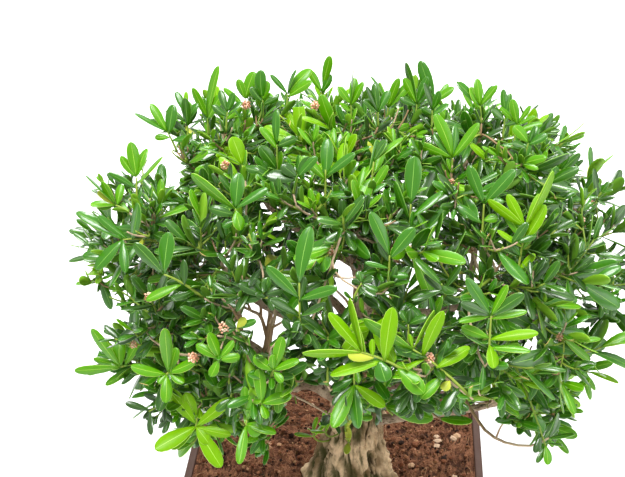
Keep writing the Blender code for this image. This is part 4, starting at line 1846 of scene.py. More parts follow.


# ---- Shoots set one by one ----------------------------------------------------------------
@dataclass(frozen=True)
class Standing:
    """A shoot whose place in the crown is given.

    Attributes:
        name: Its name.
        azimuth: Round the crown from +X, in degrees.
        out: Share of the crown's half width.
        up: Share of the crown's height over its middle.
    """

    name: str
    azimuth: float
    out: float
    up: float

    def tip(self, dome: Dome) -> Array:
        """The place of its tip."""
        return dome.place(self.azimuth, self.out, self.up)


class Habit(Enum):
    """How a spray holds its leaves: the lean of its youngest pair from its axis, in degrees."""

    UPRIGHT = 34
    OPEN = 48


@dataclass(frozen=True)
class Spray(Standing):
    """A shoot that stands out at the front of the crown.

    Attributes:
        facing: Azimuth that it points to.
        rise: How steeply it points up, in degrees.
        turn: The way its first leaf leans, in degrees from the right towards up and back.
        pairs: How many pairs it carries.
        size: Its leaves over the usual ones.
        habit: How it holds them.
        age: Its age.
    """

    facing: float
    rise: float
    turn: float
    pairs: int
    size: float
    habit: Habit
    age: Age

    def axis(self) -> Array:
        """The way it points.

        Returns:
            A unit vector.
        """
        facing, rise = math.radians(self.facing), math.radians(self.rise)
        flat = math.cos(rise)
        return np.array([flat * math.cos(facing), flat * math.sin(facing), math.sin(rise)])

    def lead(self) -> Array:
        """The way its first leaf leans, as someone at the front sees it."""
        turn = math.radians(self.turn)
        return np.array([math.cos(turn), 0.53 * math.sin(turn), 0.85 * math.sin(turn)])


SPRAYS = (
    Spray("left_wisp", 226, 0.95, 0.11, 30, 85, 160, 2, 0.55, Habit.UPRIGHT, FULL),
    Spray("low_left_dark", 225, 0.91, -0.53, 235, 5, 150, 3, 0.55, Habit.OPEN, OLD),
    Spray("middle_fan", 268, 0.61, 0.82, 95, 80, 120, 4, 0.75, Habit.UPRIGHT, GROWN),
    Spray("dark_middle", 289, 0.82, 0.61, 275, 90, 125, 3, 0.70, Habit.OPEN, DEEP),
    Spray("left_inner_fan", 247, 0.74, 0.76, 200, 75, 215, 3, 0.65, Habit.OPEN, GROWN),
    Spray("right_crest", 323, 0.45, 0.84, 95, 70, 65, 3, 0.95, Habit.UPRIGHT, GROWN),
)


@dataclass(frozen=True)
class Sprig(Standing):
    """A shoot at the front of the crown whose leaves are set one by one.

    Attributes:
        turn: The way it points across the view, in degrees from the right towards up.
        toward: How steeply it points out of the view, in degrees.
        blades: For each leaf the way it points, like turn, the length and the width that
            show, how far back from the shoot's tip it stands, all in millimetres, and its age.
    """

    turn: float
    toward: float
    blades: tuple[tuple[float, float, float, float, Age], ...]

    def axis(self) -> Array:
        """The way it points.

        Returns:
            A unit vector.
        """
        turn, toward = math.radians(self.turn), math.radians(self.toward)
        flat = ACROSS * math.cos(turn) + ABOVE * math.sin(turn)
        return flat * math.cos(toward) + TOWARD * math.sin(toward)


SPRIGS = (
    Sprig("low_left_star", 241, 0.94, -0.36, 270, 50, (
        (125, 27, 9, 2, NEW), (110, 17, 7.5, 6, NEW), (205, 25, 10.5, 0, NEW), (220, 19, 7.5, 0, NEW),
        (305, 26, 9.5, 0, NEW), (315, 11, 7.5, 0, NEW), (40, 28, 7.5, 0, NEW), (345, 20, 6, 0, NEW),
    )),
    Sprig("left_edge_star", 213, 0.91, -0.41, 180, 45, (
        (125, 28, 6.5, 0, FRESH), (100, 16, 9, 0, FRESH), (60, 21, 6.5, 3, FRESH),
        (185, 28, 5.5, 0, FRESH), (210, 23, 5.5, 13, FRESH), (160, 7, 7.5, 1, FRESH),
        (170, 21, 3, 5, FRESH),
    )),
    Sprig("left_inner_star", 237, 0.98, 0.00, 215, 60, (
        (90, 27, 7, 2, FRESH), (170, 19, 7, 0, FRESH), (20, 17, 7, 2, FRESH), (80, 13, 6.5, 5, FRESH),
        (225, 6, 4, 0, FRESH), (275, 14, 7, 0, FRESH), (325, 10, 5.5, 3, FRESH),
    )),
    Sprig("left_small_star", 248, 0.96, 0.21, 270, 60, (
        (110, 15, 7, 1, FRESH), (150, 14, 5.5, 1, FRESH), (45, 12, 4.5, 1, FRESH),
        (245, 10, 5.5, 0, FRESH), (5, 11, 5.5, 0, FRESH),
    )),
    Sprig("gap_side_star", 258, 0.95, 0.21, 70, 60, (
        (75, 19, 6.5, 0, FRESH), (145, 13, 6.5, 1, FRESH), (25, 14, 5.5, 0, FRESH),
        (315, 7, 4.5, 1, FRESH), (100, 8, 4.5, 0, FRESH),
    )),
    Sprig("low_inner_star", 253, 0.97, -0.17, 265, 45, (
        (70, 20, 6.5, 3, FRESH), (260, 20, 6, 0, FRESH), (330, 9, 9, 1, FRESH),
        (350, 16, 5.5, 0, FRESH), (95, 17, 6, 5, FRESH),
    )),
    Sprig("low_inner_mate", 256, 0.97, 0.00, 0, 55, (
        (20, 17, 7.5, 0, FRESH), (90, 18, 7, 0, FRESH), (295, 8, 5.5, 0, FRESH),
    )),
    Sprig("left_shoulder", 214, 0.86, 0.48, 175, 40, (
        (145, 32, 7.5, 0, FULL), (70, 22, 8.5, 6, FULL), (145, 22, 5.5, 4, FULL),
        (225, 23, 8.5, 0, FULL), (275, 18, 6, 0, FULL), (230, 18, 6, 13, FULL), (80, 16, 6, 20, FULL),
    )),
    Sprig("left_pair", 234, 0.91, 0.55, 145, 35, (
        (130, 22, 7, 0, GROWN), (85, 23, 9, 0, FULL), (200, 21, 6, 13, FRESH), (85, 14, 4.5, 15, DEEP),
        (110, 9, 5, 14, DEEP), (200, 11, 4.5, 22, DEEP),
    )),
    Sprig("middle_spire", 261, 0.84, 0.64, 90, 25, (
        (85, 29, 9, 0, FULL), (135, 24, 6.5, 9, FULL), (20, 21, 6, 10, FULL), (145, 17, 5.5, 20, DEEP),
        (25, 14, 4.5, 20, GROWN), (30, 16, 3.5, 21, DEEP), (245, 11, 6.5, 21, DEEP),
        (260, 11, 6, 22, OLD), (80, 14, 5, 12, DEEP),
    )),
    Sprig("cluster_left", 273, 0.96, 0.39, 155, 15, (
        (125, 26, 6.5, 0, NEW), (105, 30, 2.5, 1, NEW), (110, 17, 3.5, 3, NEW), (180, 30, 3.5, 0, NEW),
        (170, 14, 6.5, 8, YELLOW), (190, 28, 8, 13, NEW), (85, 29, 9, 14, NEW), (95, 9, 3.5, 7, NEW),
        (320, 18, 9.5, 22, FRESH), (285, 11, 9.5, 11, FULL),
    )),
    Sprig("cluster_right", 282, 0.93, 0.36, 140, 15, (
        (150, 30, 5.5, 0, FRESH), (65, 23, 2.5, 0, NEW), (75, 26, 7.5, 7, NEW), (155, 16, 6.5, 8, FULL),
        (200, 17, 4, 9, NEW), (105, 8, 2.5, 0, NEW), (30, 21, 6.5, 17, NEW), (75, 16, 6, 19, FULL),
        (225, 17, 7, 23, FRESH), (225, 14, 7, 35, DEEP), (230, 6, 5.5, 28, YELLOW),
    )),
    Sprig("cluster_pendant", 272, 0.90, 0.10, 270, 25, (
        (240, 24, 8.5, 0, FRESH), (325, 20, 7, 0, NEW), (275, 21, 8.5, 0, FULL),
        (220, 15, 5.5, 0, DEEP), (275, 9, 5, 0, DEEP), (210, 13, 5.5, 4, FULL),
    )),
    Sprig("right_wheel", 296, 0.93, 0.50, 90, 20, (
        (65, 18, 5, 0, FRESH), (125, 25, 6, 0, FULL), (185, 17, 4, 0, FRESH), (20, 18, 5, 2, FRESH),
        (160, 16, 6, 13, FRESH), (15, 24, 6, 14, NEW), (5, 20, 6, 19, FRESH), (280, 12, 8, 17, NEW),
        (150, 18, 5, 19, GROWN), (40, 19, 6.5, 0, GROWN), (155, 18, 6, 0, DEEP),
    )),
    Sprig("upright_leaf", 290, 0.51, 0.78, 90, 25, (
        (85, 27, 10, 0, FULL), (40, 24, 5.5, 9, FULL), (120, 22, 3.5, 10, FULL),
        (100, 11, 4.5, 11, DEEP), (100, 13, 3.5, 14, DEEP),
    )),
    Sprig("lean_middle", 279, 0.75, 0.73, 90, 30, (
        (55, 20, 7.5, 2, FULL), (110, 25, 7.5, 0, FULL), (165, 13, 3, 8, FULL), (355, 10, 4, 12, FULL),
        (120, 12, 4.5, 4, DEEP),
    )),
    Sprig("right_gold", 317, 0.71, 0.67, 85, 20, (
        (120, 21, 6, 0, NEW), (145, 25, 4, 0, NEW), (65, 20, 4.5, 0, NEW), (65, 33, 5, 0, NEW),
        (55, 23, 7, 9, NEW), (55, 21, 5, 14, FRESH), (150, 17, 4, 12, NEW), (125, 14, 5.5, 18, FULL),
        (45, 12, 4.5, 26, NEW), (120, 19, 6, 8, FRESH),
    )),
    Sprig("right_spire", 312, 0.59, 0.76, 90, 20, (
        (115, 23, 7, 0, FULL), (50, 24, 7.5, 0, FULL), (145, 18, 5.5, 12, FULL), (15, 8, 5.5, 10, FRESH),
    )),
    Sprig("right_plume", 339, 0.33, 0.75, 90, 10, (
        (105, 27, 8, 0, FRESH), (50, 26, 6, 0, FRESH), (160, 26, 5, 0, FRESH), (120, 19, 7, 1, FULL),
        (80, 20, 5.5, 0, FULL),
    )),
    Sprig("dark_plume", 47, 0.37, 0.80, 95, 0, (
        (110, 28, 8.5, 0, FULL), (35, 15, 6, 0, FRESH), (310, 16, 6, 0, FRESH), (55, 16, 4.5, 2, FRESH),
    )),
    Sprig("left_cross", 238, 0.65, 0.78, 90, 35, (
        (145, 29, 5, 0, FRESH), (85, 19, 8.5, 0, FULL), (35, 21, 5.5, 0, FULL), (170, 14, 6, 4, GROWN),
        (285, 11, 7.5, 1, FRESH), (200, 8, 4.5, 8, FULL),
    )),
    Sprig("left_spatula", 223, 0.48, 0.84, 100, 20, (
        (105, 17, 10, 0, NEW), (150, 25, 3, 0, FULL), (345, 10, 5.5, 1, GROWN),
    )),
    Sprig("left_horn", 184, 0.64, 0.79, 115, 10, (
        (150, 22, 5, 0, FULL), (120, 20, 6, 0, FRESH), (175, 9, 4.5, 4, FRESH), (80, 18, 8, 2, FULL),
        (5, 13, 5, 6, FULL),
    )),
    Sprig("left_tip", 161, 0.57, 0.71, 90, 10, (
        (80, 33, 5.5, 0, FRESH), (115, 21, 5.5, 1, FRESH), (60, 17, 8, 2, FRESH), (95, 17, 8, 5, FULL),
    )),
    Sprig("blue_top", 217, 0.32, 0.86, 90, 10, (
        (95, 20, 6, 0, FULL), (25, 12, 6, 1, GROWN), (125, 16, 8, 15, GROWN), (145, 17, 7.5, 24, GROWN),
        (120, 16, 5.5, 3, FRESH),
    )),
    Sprig("blue_middle", 249, 0.47, 0.88, 75, 20, (
        (140, 11, 7, 0, DEEP), (165, 17, 8, 2, DEEP), (60, 13, 6.5, 0, GROWN), (50, 15, 5.5, 0, FULL),
    )),
    Sprig("clipped_top", 257, 0.39, 0.88, 90, 20, (
        (85, 22, 8, 5, FULL), (40, 21, 6, 4, FULL), (130, 17, 6.5, 6, FRESH), (5, 19, 7.5, 16, FULL),
        (145, 8, 4.5, 18, FULL),
    )),
    Sprig("top_leaf", 116, 0.32, 0.87, 80, 5, (
        (75, 19, 6.5, 0, FRESH), (120, 16, 5.5, 4, FRESH), (60, 13, 5.5, 5, FULL),
    )),
    Sprig("middle_blue", 280, 0.33, 0.89, 85, 15, (
        (65, 14, 7.5, 0, GROWN), (45, 21, 4, 0, FRESH), (60, 19, 5.5, 19, FRESH), (35, 18, 6, 31, FRESH),
    )),
    Sprig("left_ledge", 206, 0.84, 0.59, 150, 10, (
        (170, 13, 6, 0, FRESH), (115, 15, 5.5, 0, FRESH), (135, 12, 5, 0, YELLOW),
        (185, 10, 5, 0, FRESH), (80, 13, 5.5, 1, FRESH), (130, 23, 2.5, 0, FULL),
    )),
    Sprig("left_blue_upper", 204, 0.76, 0.72, 90, 10, (
        (95, 21, 8, 0, FRESH), (130, 15, 5.5, 0, FRESH), (75, 18, 6.5, 0, FRESH),
        (45, 23, 3.5, 5, FRESH), (145, 19, 4, 7, FULL),
    )),
    Sprig("crest_left_fan", 161, 0.42, 0.88, 90, 5, (
        (75, 17, 8, 0, FRESH), (110, 13, 6, 0, FRESH), (50, 14, 5, 0, FRESH), (140, 17, 4.5, 5, FRESH),
    )),
    Sprig("crest_left_spike", 145, 0.31, 0.89, 85, 5, (
        (130, 16, 4, 0, FULL), (55, 21, 8.5, 0, FRESH), (80, 15, 2.5, 0, FULL), (35, 18, 7, 2, FRESH),
    )),
    Sprig("crest_spike", 103, 0.15, 0.86, 90, 5, (
        (80, 17, 6, 0, FRESH), (125, 14, 6, 0, FRESH), (85, 20, 1.5, 0, FULL), (65, 15, 5, 1, FRESH),
        (145, 9, 4.5, 5, FRESH),
    )),
    Sprig("crest_broad", 70, 0.27, 0.76, 85, 5, (
        (75, 19, 6, 0, FRESH), (50, 23, 6.5, 0, FRESH), (115, 17, 4.5, 0, FRESH),
        (110, 21, 2.5, 0, FULL),
    )),
    Sprig("crest_arch", 20, 0.43, 0.88, 95, 5, (
        (135, 21, 6.5, 0, FULL), (100, 16, 6, 0, FRESH), (50, 16, 4.5, 0, FRESH),
        (110, 16, 9, 3, FRESH), (55, 15, 4.5, 0, FULL),
    )),
    Sprig("crest_rim", 1, 0.52, 0.88, 80, 5, (
        (55, 12, 3.5, 0, FRESH), (30, 11, 3, 1, FRESH), (105, 15, 6, 1, FRESH),
        (140, 15, 3.5, 0, FRESH), (20, 16, 5, 5, FRESH),
    )),
    Sprig("low_right_end", 309, 0.99, -0.45, 290, 10, (
        (280, 10, 5.5, 1, FRESH), (235, 10, 3.5, 0, GROWN), (245, 10, 4.5, 7, DEEP),
        (300, 12, 7.5, 20, FULL), (75, 18, 5.5, 27, FULL), (175, 11, 6, 25, GROWN),
        (175, 16, 5.5, 22, DEEP), (25, 13, 5.5, 51, GROWN),
    )),
    Sprig("under_cluster", 282, 0.93, 0.09, 275, 20, (
        (275, 10, 5, 0, DEEP), (230, 13, 5.5, 0, DEEP), (275, 9, 4.5, 0, DEEP), (330, 10, 5, 0, GROWN),
        (210, 11, 4.5, 2, DEEP), (5, 9, 4.5, 2, OLD),
    )),
    Sprig("under_star", 249, 0.93, -0.07, 280, 20, (
        (320, 9, 5.5, 0, GROWN), (225, 10, 5, 0, GROWN), (260, 10, 5, 0, DEEP), (20, 10, 5, 3, DEEP),
    )),
    Sprig("window_roof", 253, 0.82, 0.49, 270, 10, (
        (155, 13, 6, 1, DEEP), (185, 10, 5, 0, GROWN), (20, 11, 5.5, 1, DEEP), (340, 9, 4.5, 0, OLD),
        (70, 9, 5, 2, GROWN), (120, 9, 4.5, 2, DEEP),
    )),
    Sprig("window_sill", 249, 0.88, 0.33, 125, 20, (
        (25, 11, 4.5, 0, FULL), (50, 7, 5, 0, YELLOW), (140, 7, 5, 0, DEEP), (190, 8, 5, 0, GROWN),
        (335, 6, 4, 2, DEEP),
    )),
    Sprig("window_side", 260, 0.88, 0.38, 35, 20, (
        (120, 8, 4.5, 0, DEEP), (50, 7, 4.5, 0, GROWN), (245, 7, 4.5, 1, GROWN), (340, 7, 4.5, 0, DEEP),
        (195, 5, 4, 0, OLD),
    )),
    Sprig("crest_far_left", 178, 0.58, 0.84, 90, 5, (
        (90, 17, 6.5, 6, GROWN), (110, 17, 5, 0, FULL), (155, 15, 4, 3, GROWN), (60, 12, 5, 2, FULL),
        (145, 12, 4.5, 10, DEEP),
    )),
    Sprig("crest_shoulder_left", 180, 0.44, 0.90, 85, 8, (
        (110, 14, 5, 0, GROWN), (65, 12, 5, 0, FULL), (145, 11, 5, 3, GROWN), (40, 12, 5, 2, FULL),
        (45, 7, 4, 5, FRESH),
    )),
    Sprig("crest_fan_back", 159, 0.36, 0.89, 90, 5, (
        (100, 17, 8, 0, FULL), (75, 12, 6, 1, FRESH), (130, 12, 6, 2, GROWN), (30, 11, 4.5, 4, GROWN),
    )),
    Sprig("crest_middle_pair", 41, 0.08, 0.89, 90, 5, (
        (100, 17, 5.5, 0, GROWN), (115, 17, 4, 0, DEEP), (65, 15, 5.5, 0, FULL), (130, 12, 5, 1, GROWN),
    )),
    Sprig("crest_right_pair", 53, 0.32, 0.79, 85, 5, (
        (105, 28, 3, 0, GROWN), (75, 18, 5.5, 0, FULL), (155, 12, 5.5, 1, GROWN),
        (55, 15, 5.5, 1, GROWN), (115, 19, 6, 0, FRESH),
    )),
    Sprig("crest_plume_mate", 16, 0.25, 0.90, 90, 5, (
        (105, 17, 5, 0, DEEP), (65, 12, 5, 0, FULL), (30, 12, 5.5, 3, FULL), (150, 7, 5, 3, GROWN),
    )),
    Sprig("crest_end", 13, 0.50, 0.83, 85, 5, (
        (95, 18, 5, 0, FULL), (80, 15, 4.5, 0, FULL), (60, 12, 5, 1, FRESH), (135, 11, 6, 2, GROWN),
        (20, 12, 4.5, 5, GROWN),
    )),
    Sprig("right_rim_fan", 347, 0.56, 0.87, 75, 8, (
        (60, 11, 5, 0, FULL), (125, 13, 7.5, 0, FRESH), (25, 12, 5.5, 1, FULL),
        (160, 10, 5.5, 3, GROWN), (75, 10, 3, 0, FULL),
    )),
    Sprig("window_shade", 273, 0.79, 0.61, 65, 15, (
        (335, 9, 4.5, 0, GROWN), (25, 7, 4.5, 0, DEEP), (150, 5, 4, 1, DEEP), (285, 6, 4.5, 2, DEEP),
        (100, 6, 4.5, 0, GROWN), (325, 9, 5, 2, DEEP),
    )),
    Sprig("window_eave", 254, 0.82, 0.49, 0, 12, (
        (325, 11, 5, 0, DEEP), (345, 11, 4.5, 0, GROWN), (150, 6, 4, 1, DEEP), (295, 7, 4, 0, DEEP),
        (335, 12, 4.5, 0, OLD),
    )),
    Sprig("under_right_dark", 283, 0.93, 0.01, 270, 10, (
        (235, 9, 4.5, 0, DEEP), (295, 9, 5, 0, DEEP), (215, 10, 4.5, 0, GROWN), (335, 11, 5, 0, DEEP),
        (195, 9, 4, 1, DEEP),
    )),
    Sprig("under_far_right", 290, 0.93, -0.02, 275, 10, (
        (295, 8, 4.5, 0, DEEP), (240, 8, 4.5, 0, DEEP), (340, 9, 4.5, 0, GROWN),
        (205, 9, 4.5, 0, GROWN), (315, 9, 4, 0, DEEP),
    )),
    Sprig("cluster_back", 282, 0.86, 0.43, 90, 12, (
        (30, 9, 5, 1, DEEP), (115, 8, 4.5, 0, GROWN), (5, 10, 5, 2, DEEP), (150, 8, 4.5, 3, DEEP),
        (30, 9, 4.5, 0, GROWN), (80, 8, 4.5, 0, DEEP),
    )),
    Sprig("trunk_shade", 267, 0.89, 0.19, 90, 12, (
        (30, 7, 4.5, 0, DEEP), (130, 7, 4.5, 0, GROWN), (335, 7, 4.5, 2, GROWN), (190, 7, 4.5, 1, DEEP),
    )),
)


@dataclass(frozen=True)
class BareTwig:
    """A twig that shows without leaves.

    Attributes:
        name: Its name.
        bough: The bough whose mass it belongs to.
        radius: Radius at its foot.
        stops: Places along it, from its foot.
        pairs: Pairs of leaves at its end.
        size: Those leaves over the usual ones.
    """

    name: str
    bough: str
    radius: float
    stops: tuple[Triple, ...]
    pairs: int = 0
    size: float = 0.4


BARE_TWIGS = (
    BareTwig(
        "low_right_droop", "right_low", 0.0012,
        ((0.080, -0.102, 0.266), (0.090, -0.113, 0.257), (0.099, -0.123, 0.249), (0.111, -0.130, 0.246),
         (0.126, -0.134, 0.248), (0.136, -0.134, 0.255)),
        pairs=3,
        size=0.8,
    ),
    BareTwig(
        "low_right_side", "right_low", 0.0007,
        ((0.106, -0.127, 0.247), (0.108, -0.128, 0.257), (0.113, -0.130, 0.270)),
        pairs=2,
        size=0.45,
    ),
    BareTwig(
        "window_trunk", "left", 0.0024,
        ((-0.050, -0.015, 0.214), (-0.047, -0.018, 0.230), (-0.045, -0.020, 0.247),
         (-0.044, -0.021, 0.258), (-0.047, -0.023, 0.268), (-0.056, -0.026, 0.280)),
    ),
    BareTwig(
        "window_arm", "left", 0.0016,
        ((-0.047, -0.018, 0.230), (-0.051, -0.020, 0.251), (-0.058, -0.021, 0.257),
         (-0.070, -0.023, 0.265)),
    ),
    BareTwig(
        "window_fork", "left", 0.0014,
        ((-0.051, -0.020, 0.251), (-0.051, -0.021, 0.262), (-0.055, -0.023, 0.275)),
    ),
    BareTwig(
        "window_prong", "left", 0.0011,
        ((-0.058, -0.021, 0.257), (-0.060, -0.021, 0.264), (-0.062, -0.022, 0.273)),
    ),
    BareTwig(
        "window_spine", "left", 0.0021,
        ((-0.066, -0.016, 0.232), (-0.066, -0.018, 0.249), (-0.067, -0.020, 0.260),
         (-0.065, -0.022, 0.275)),
    ),
    BareTwig(
        "window_left_post", "left", 0.0013,
        ((-0.046, -0.140, 0.325), (-0.047, -0.138, 0.336), (-0.049, -0.135, 0.346),
         (-0.051, -0.133, 0.356)),
    ),
    BareTwig(
        "window_left_lean", "left", 0.0010,
        ((-0.047, -0.140, 0.335), (-0.051, -0.140, 0.344), (-0.056, -0.142, 0.352)),
    ),
    BareTwig(
        "window_right_post", "left", 0.0014,
        ((-0.032, -0.132, 0.308), (-0.030, -0.129, 0.322), (-0.028, -0.128, 0.334),
         (-0.032, -0.127, 0.344)),
    ),
    BareTwig(
        "window_cross", "left", 0.0009,
        ((-0.029, -0.132, 0.326), (-0.023, -0.134, 0.332), (-0.017, -0.134, 0.341)),
    ),
    BareTwig(
        "sill_twig", "left", 0.0010,
        ((-0.039, -0.156, 0.319), (-0.043, -0.154, 0.327), (-0.050, -0.155, 0.334),
         (-0.057, -0.157, 0.337)),
    ),
    BareTwig(
        "middle_upright", "leader", 0.0011,
        ((0.013, -0.010, 0.246), (0.013, -0.016, 0.262), (0.014, -0.019, 0.282), (0.018, -0.022, 0.295)),
    ),
    BareTwig(
        "middle_slant", "leader", 0.0012,
        ((0.013, -0.012, 0.250), (0.009, -0.018, 0.266), (0.003, -0.022, 0.276), (-0.006, -0.026, 0.290)),
    ),
    BareTwig(
        "middle_low", "leader", 0.0013,
        ((0.020, -0.010, 0.240), (0.022, -0.018, 0.258), (0.019, -0.020, 0.272), (0.025, -0.024, 0.288)),
    ),
    BareTwig(
        "knobbly_left", "front_left", 0.0013,
        ((-0.052, -0.110, 0.300), (-0.062, -0.128, 0.304), (-0.074, -0.140, 0.309),
         (-0.084, -0.148, 0.316)),
    ),
)


# Flower heads that show at the front: azimuth, share of the way out and share of the way up.
BLOSSOM_PLACES = (
    (285, 0.93, 0.30),
    (247, 0.90, 0.34),
    (243, 0.97, 0.18),
    (228, 0.90, 0.32),
    (215, 0.50, 0.80),
    (171, 0.39, 0.90),
    (170, 0.15, 0.94),
)

# Sprouts on the trunk: share of its height, azimuth, length and age.
FOOT_SPROUTS = (
    (0.66, 236, 0.026, NEW),
    (0.56, 218, 0.023, NEW),
    (0.72, 255, 0.018, YELLOW),
    (0.62, 262, 0.014, YELLOW),
)


# ---- Foliage ------------------------------------------------------------------------------
MM = 1000  # millimetres in a metre


@dataclass
class Network:
    """The twigs of one mass so far, with the joints that new ones can start from.

    Attributes:
        paths: Each twig's middle line.
        radii: Its radius at each knot.
        green: True where it is young.
        joints: Each joint's place, the twig's direction there, the way back to the stem's foot
            and the twig's radius.
    """

    paths: list[Array] = field(default_factory=list)
    radii: list[Array] = field(default_factory=list)
    green: list[bool] = field(default_factory=list)
    joints: list[tuple[Array, Array, float, float]] = field(default_factory=list)

    def add(self, path: Array, radii: Array, green: bool) -> None:
        """Adds a twig that nothing grows from yet.

        Args:
            path: Its points.
            radii: Its radius at each.
            green: How young it is, 0 to 1.
        """
        self.paths.append(path)
        self.radii.append(radii)
        self.green.append(green)

    def nearest(self, tip: Array) -> tuple[Array, Array, float, float]:
        """The joint that a shoot to this tip grows from: the nearest, counting the way back to
        the stem and the turn that it would have to make.

        Args:
            tip: The shoot's tip.

        Returns:
            The joint's number.
        """
        spots = np.array([joint[0] for joint in self.joints])
        ways = np.array([joint[1] for joint in self.joints])
        back = np.array([joint[2] for joint in self.joints])
        reach = tip - spots
        span = np.linalg.norm(reach, axis=1)
        turn = (reach * ways).sum(1) / np.maximum(span, 1e-6)
        cost = span + 0.3 * back + np.where(turn < 0.1, 0.05, 0.0)
        return self.joints[int(cost.argmin())]

    def tubes(self, finish: Any, sides: int = 5) -> Surface:
        """The twigs as tubes.

        Args:
            finish: One finish number, or one for each twig.
            sides: Corners of their section.

        Returns:
            A surface that holds them.
        """
        surface = Surface()
        surface.add_tubes(np.array(self.paths), np.array(self.radii), sides, finish)
        return surface


@dataclass
class Growth:
    """All that has grown in one mass so far.

    Attributes:
        net: Its twigs.
        long: Long leaves.
        small: Small leaves.
        lesser: Leaves below the ones set one by one.
        front: Leaves set one by one.
    """

    net: Network = field(default_factory=Network)
    long: Leaves = field(default_factory=Leaves)
    small: Leaves = field(default_factory=Leaves)
    lesser: Leaves = field(default_factory=Leaves)
    front: Leaves = field(default_factory=Leaves)


class Stage(Enum):
    """The stages of a mass's growth: the levels of the dome that its tips lie between."""

    BRANCHLETS = (0.50, 0.84)
    SHOOTS = (0.66, 1.0)


# Along a shoot, by the number of a pair of leaves from its tip back.
LEANS = ((0, 1, 2, 3, 5), (22, 36, 46, 54, 66))  # from the shoot, in degrees
SIZES = ((0, 1, 2, 4, 6), (0.72, 0.94, 1.0, 0.95, 0.82))  # over the shoot's own
SPRAY_SIZES = ((0, 2, 4), (1.0, 0.92, 0.75))
AGEING = ((0, 2, 5), (0, 0.45, 1.4))  # how much older than the shoot
# Up the crown, by the height over its middle, as a share of its upper half.
LIFTS = ((-1.2, -0.4, 0.3, 0.9), (0.0, 0.3, 1.0, 1.5))  # how much shoots turn up to the light
FAR = 9.0  # a place further off than anything reaches


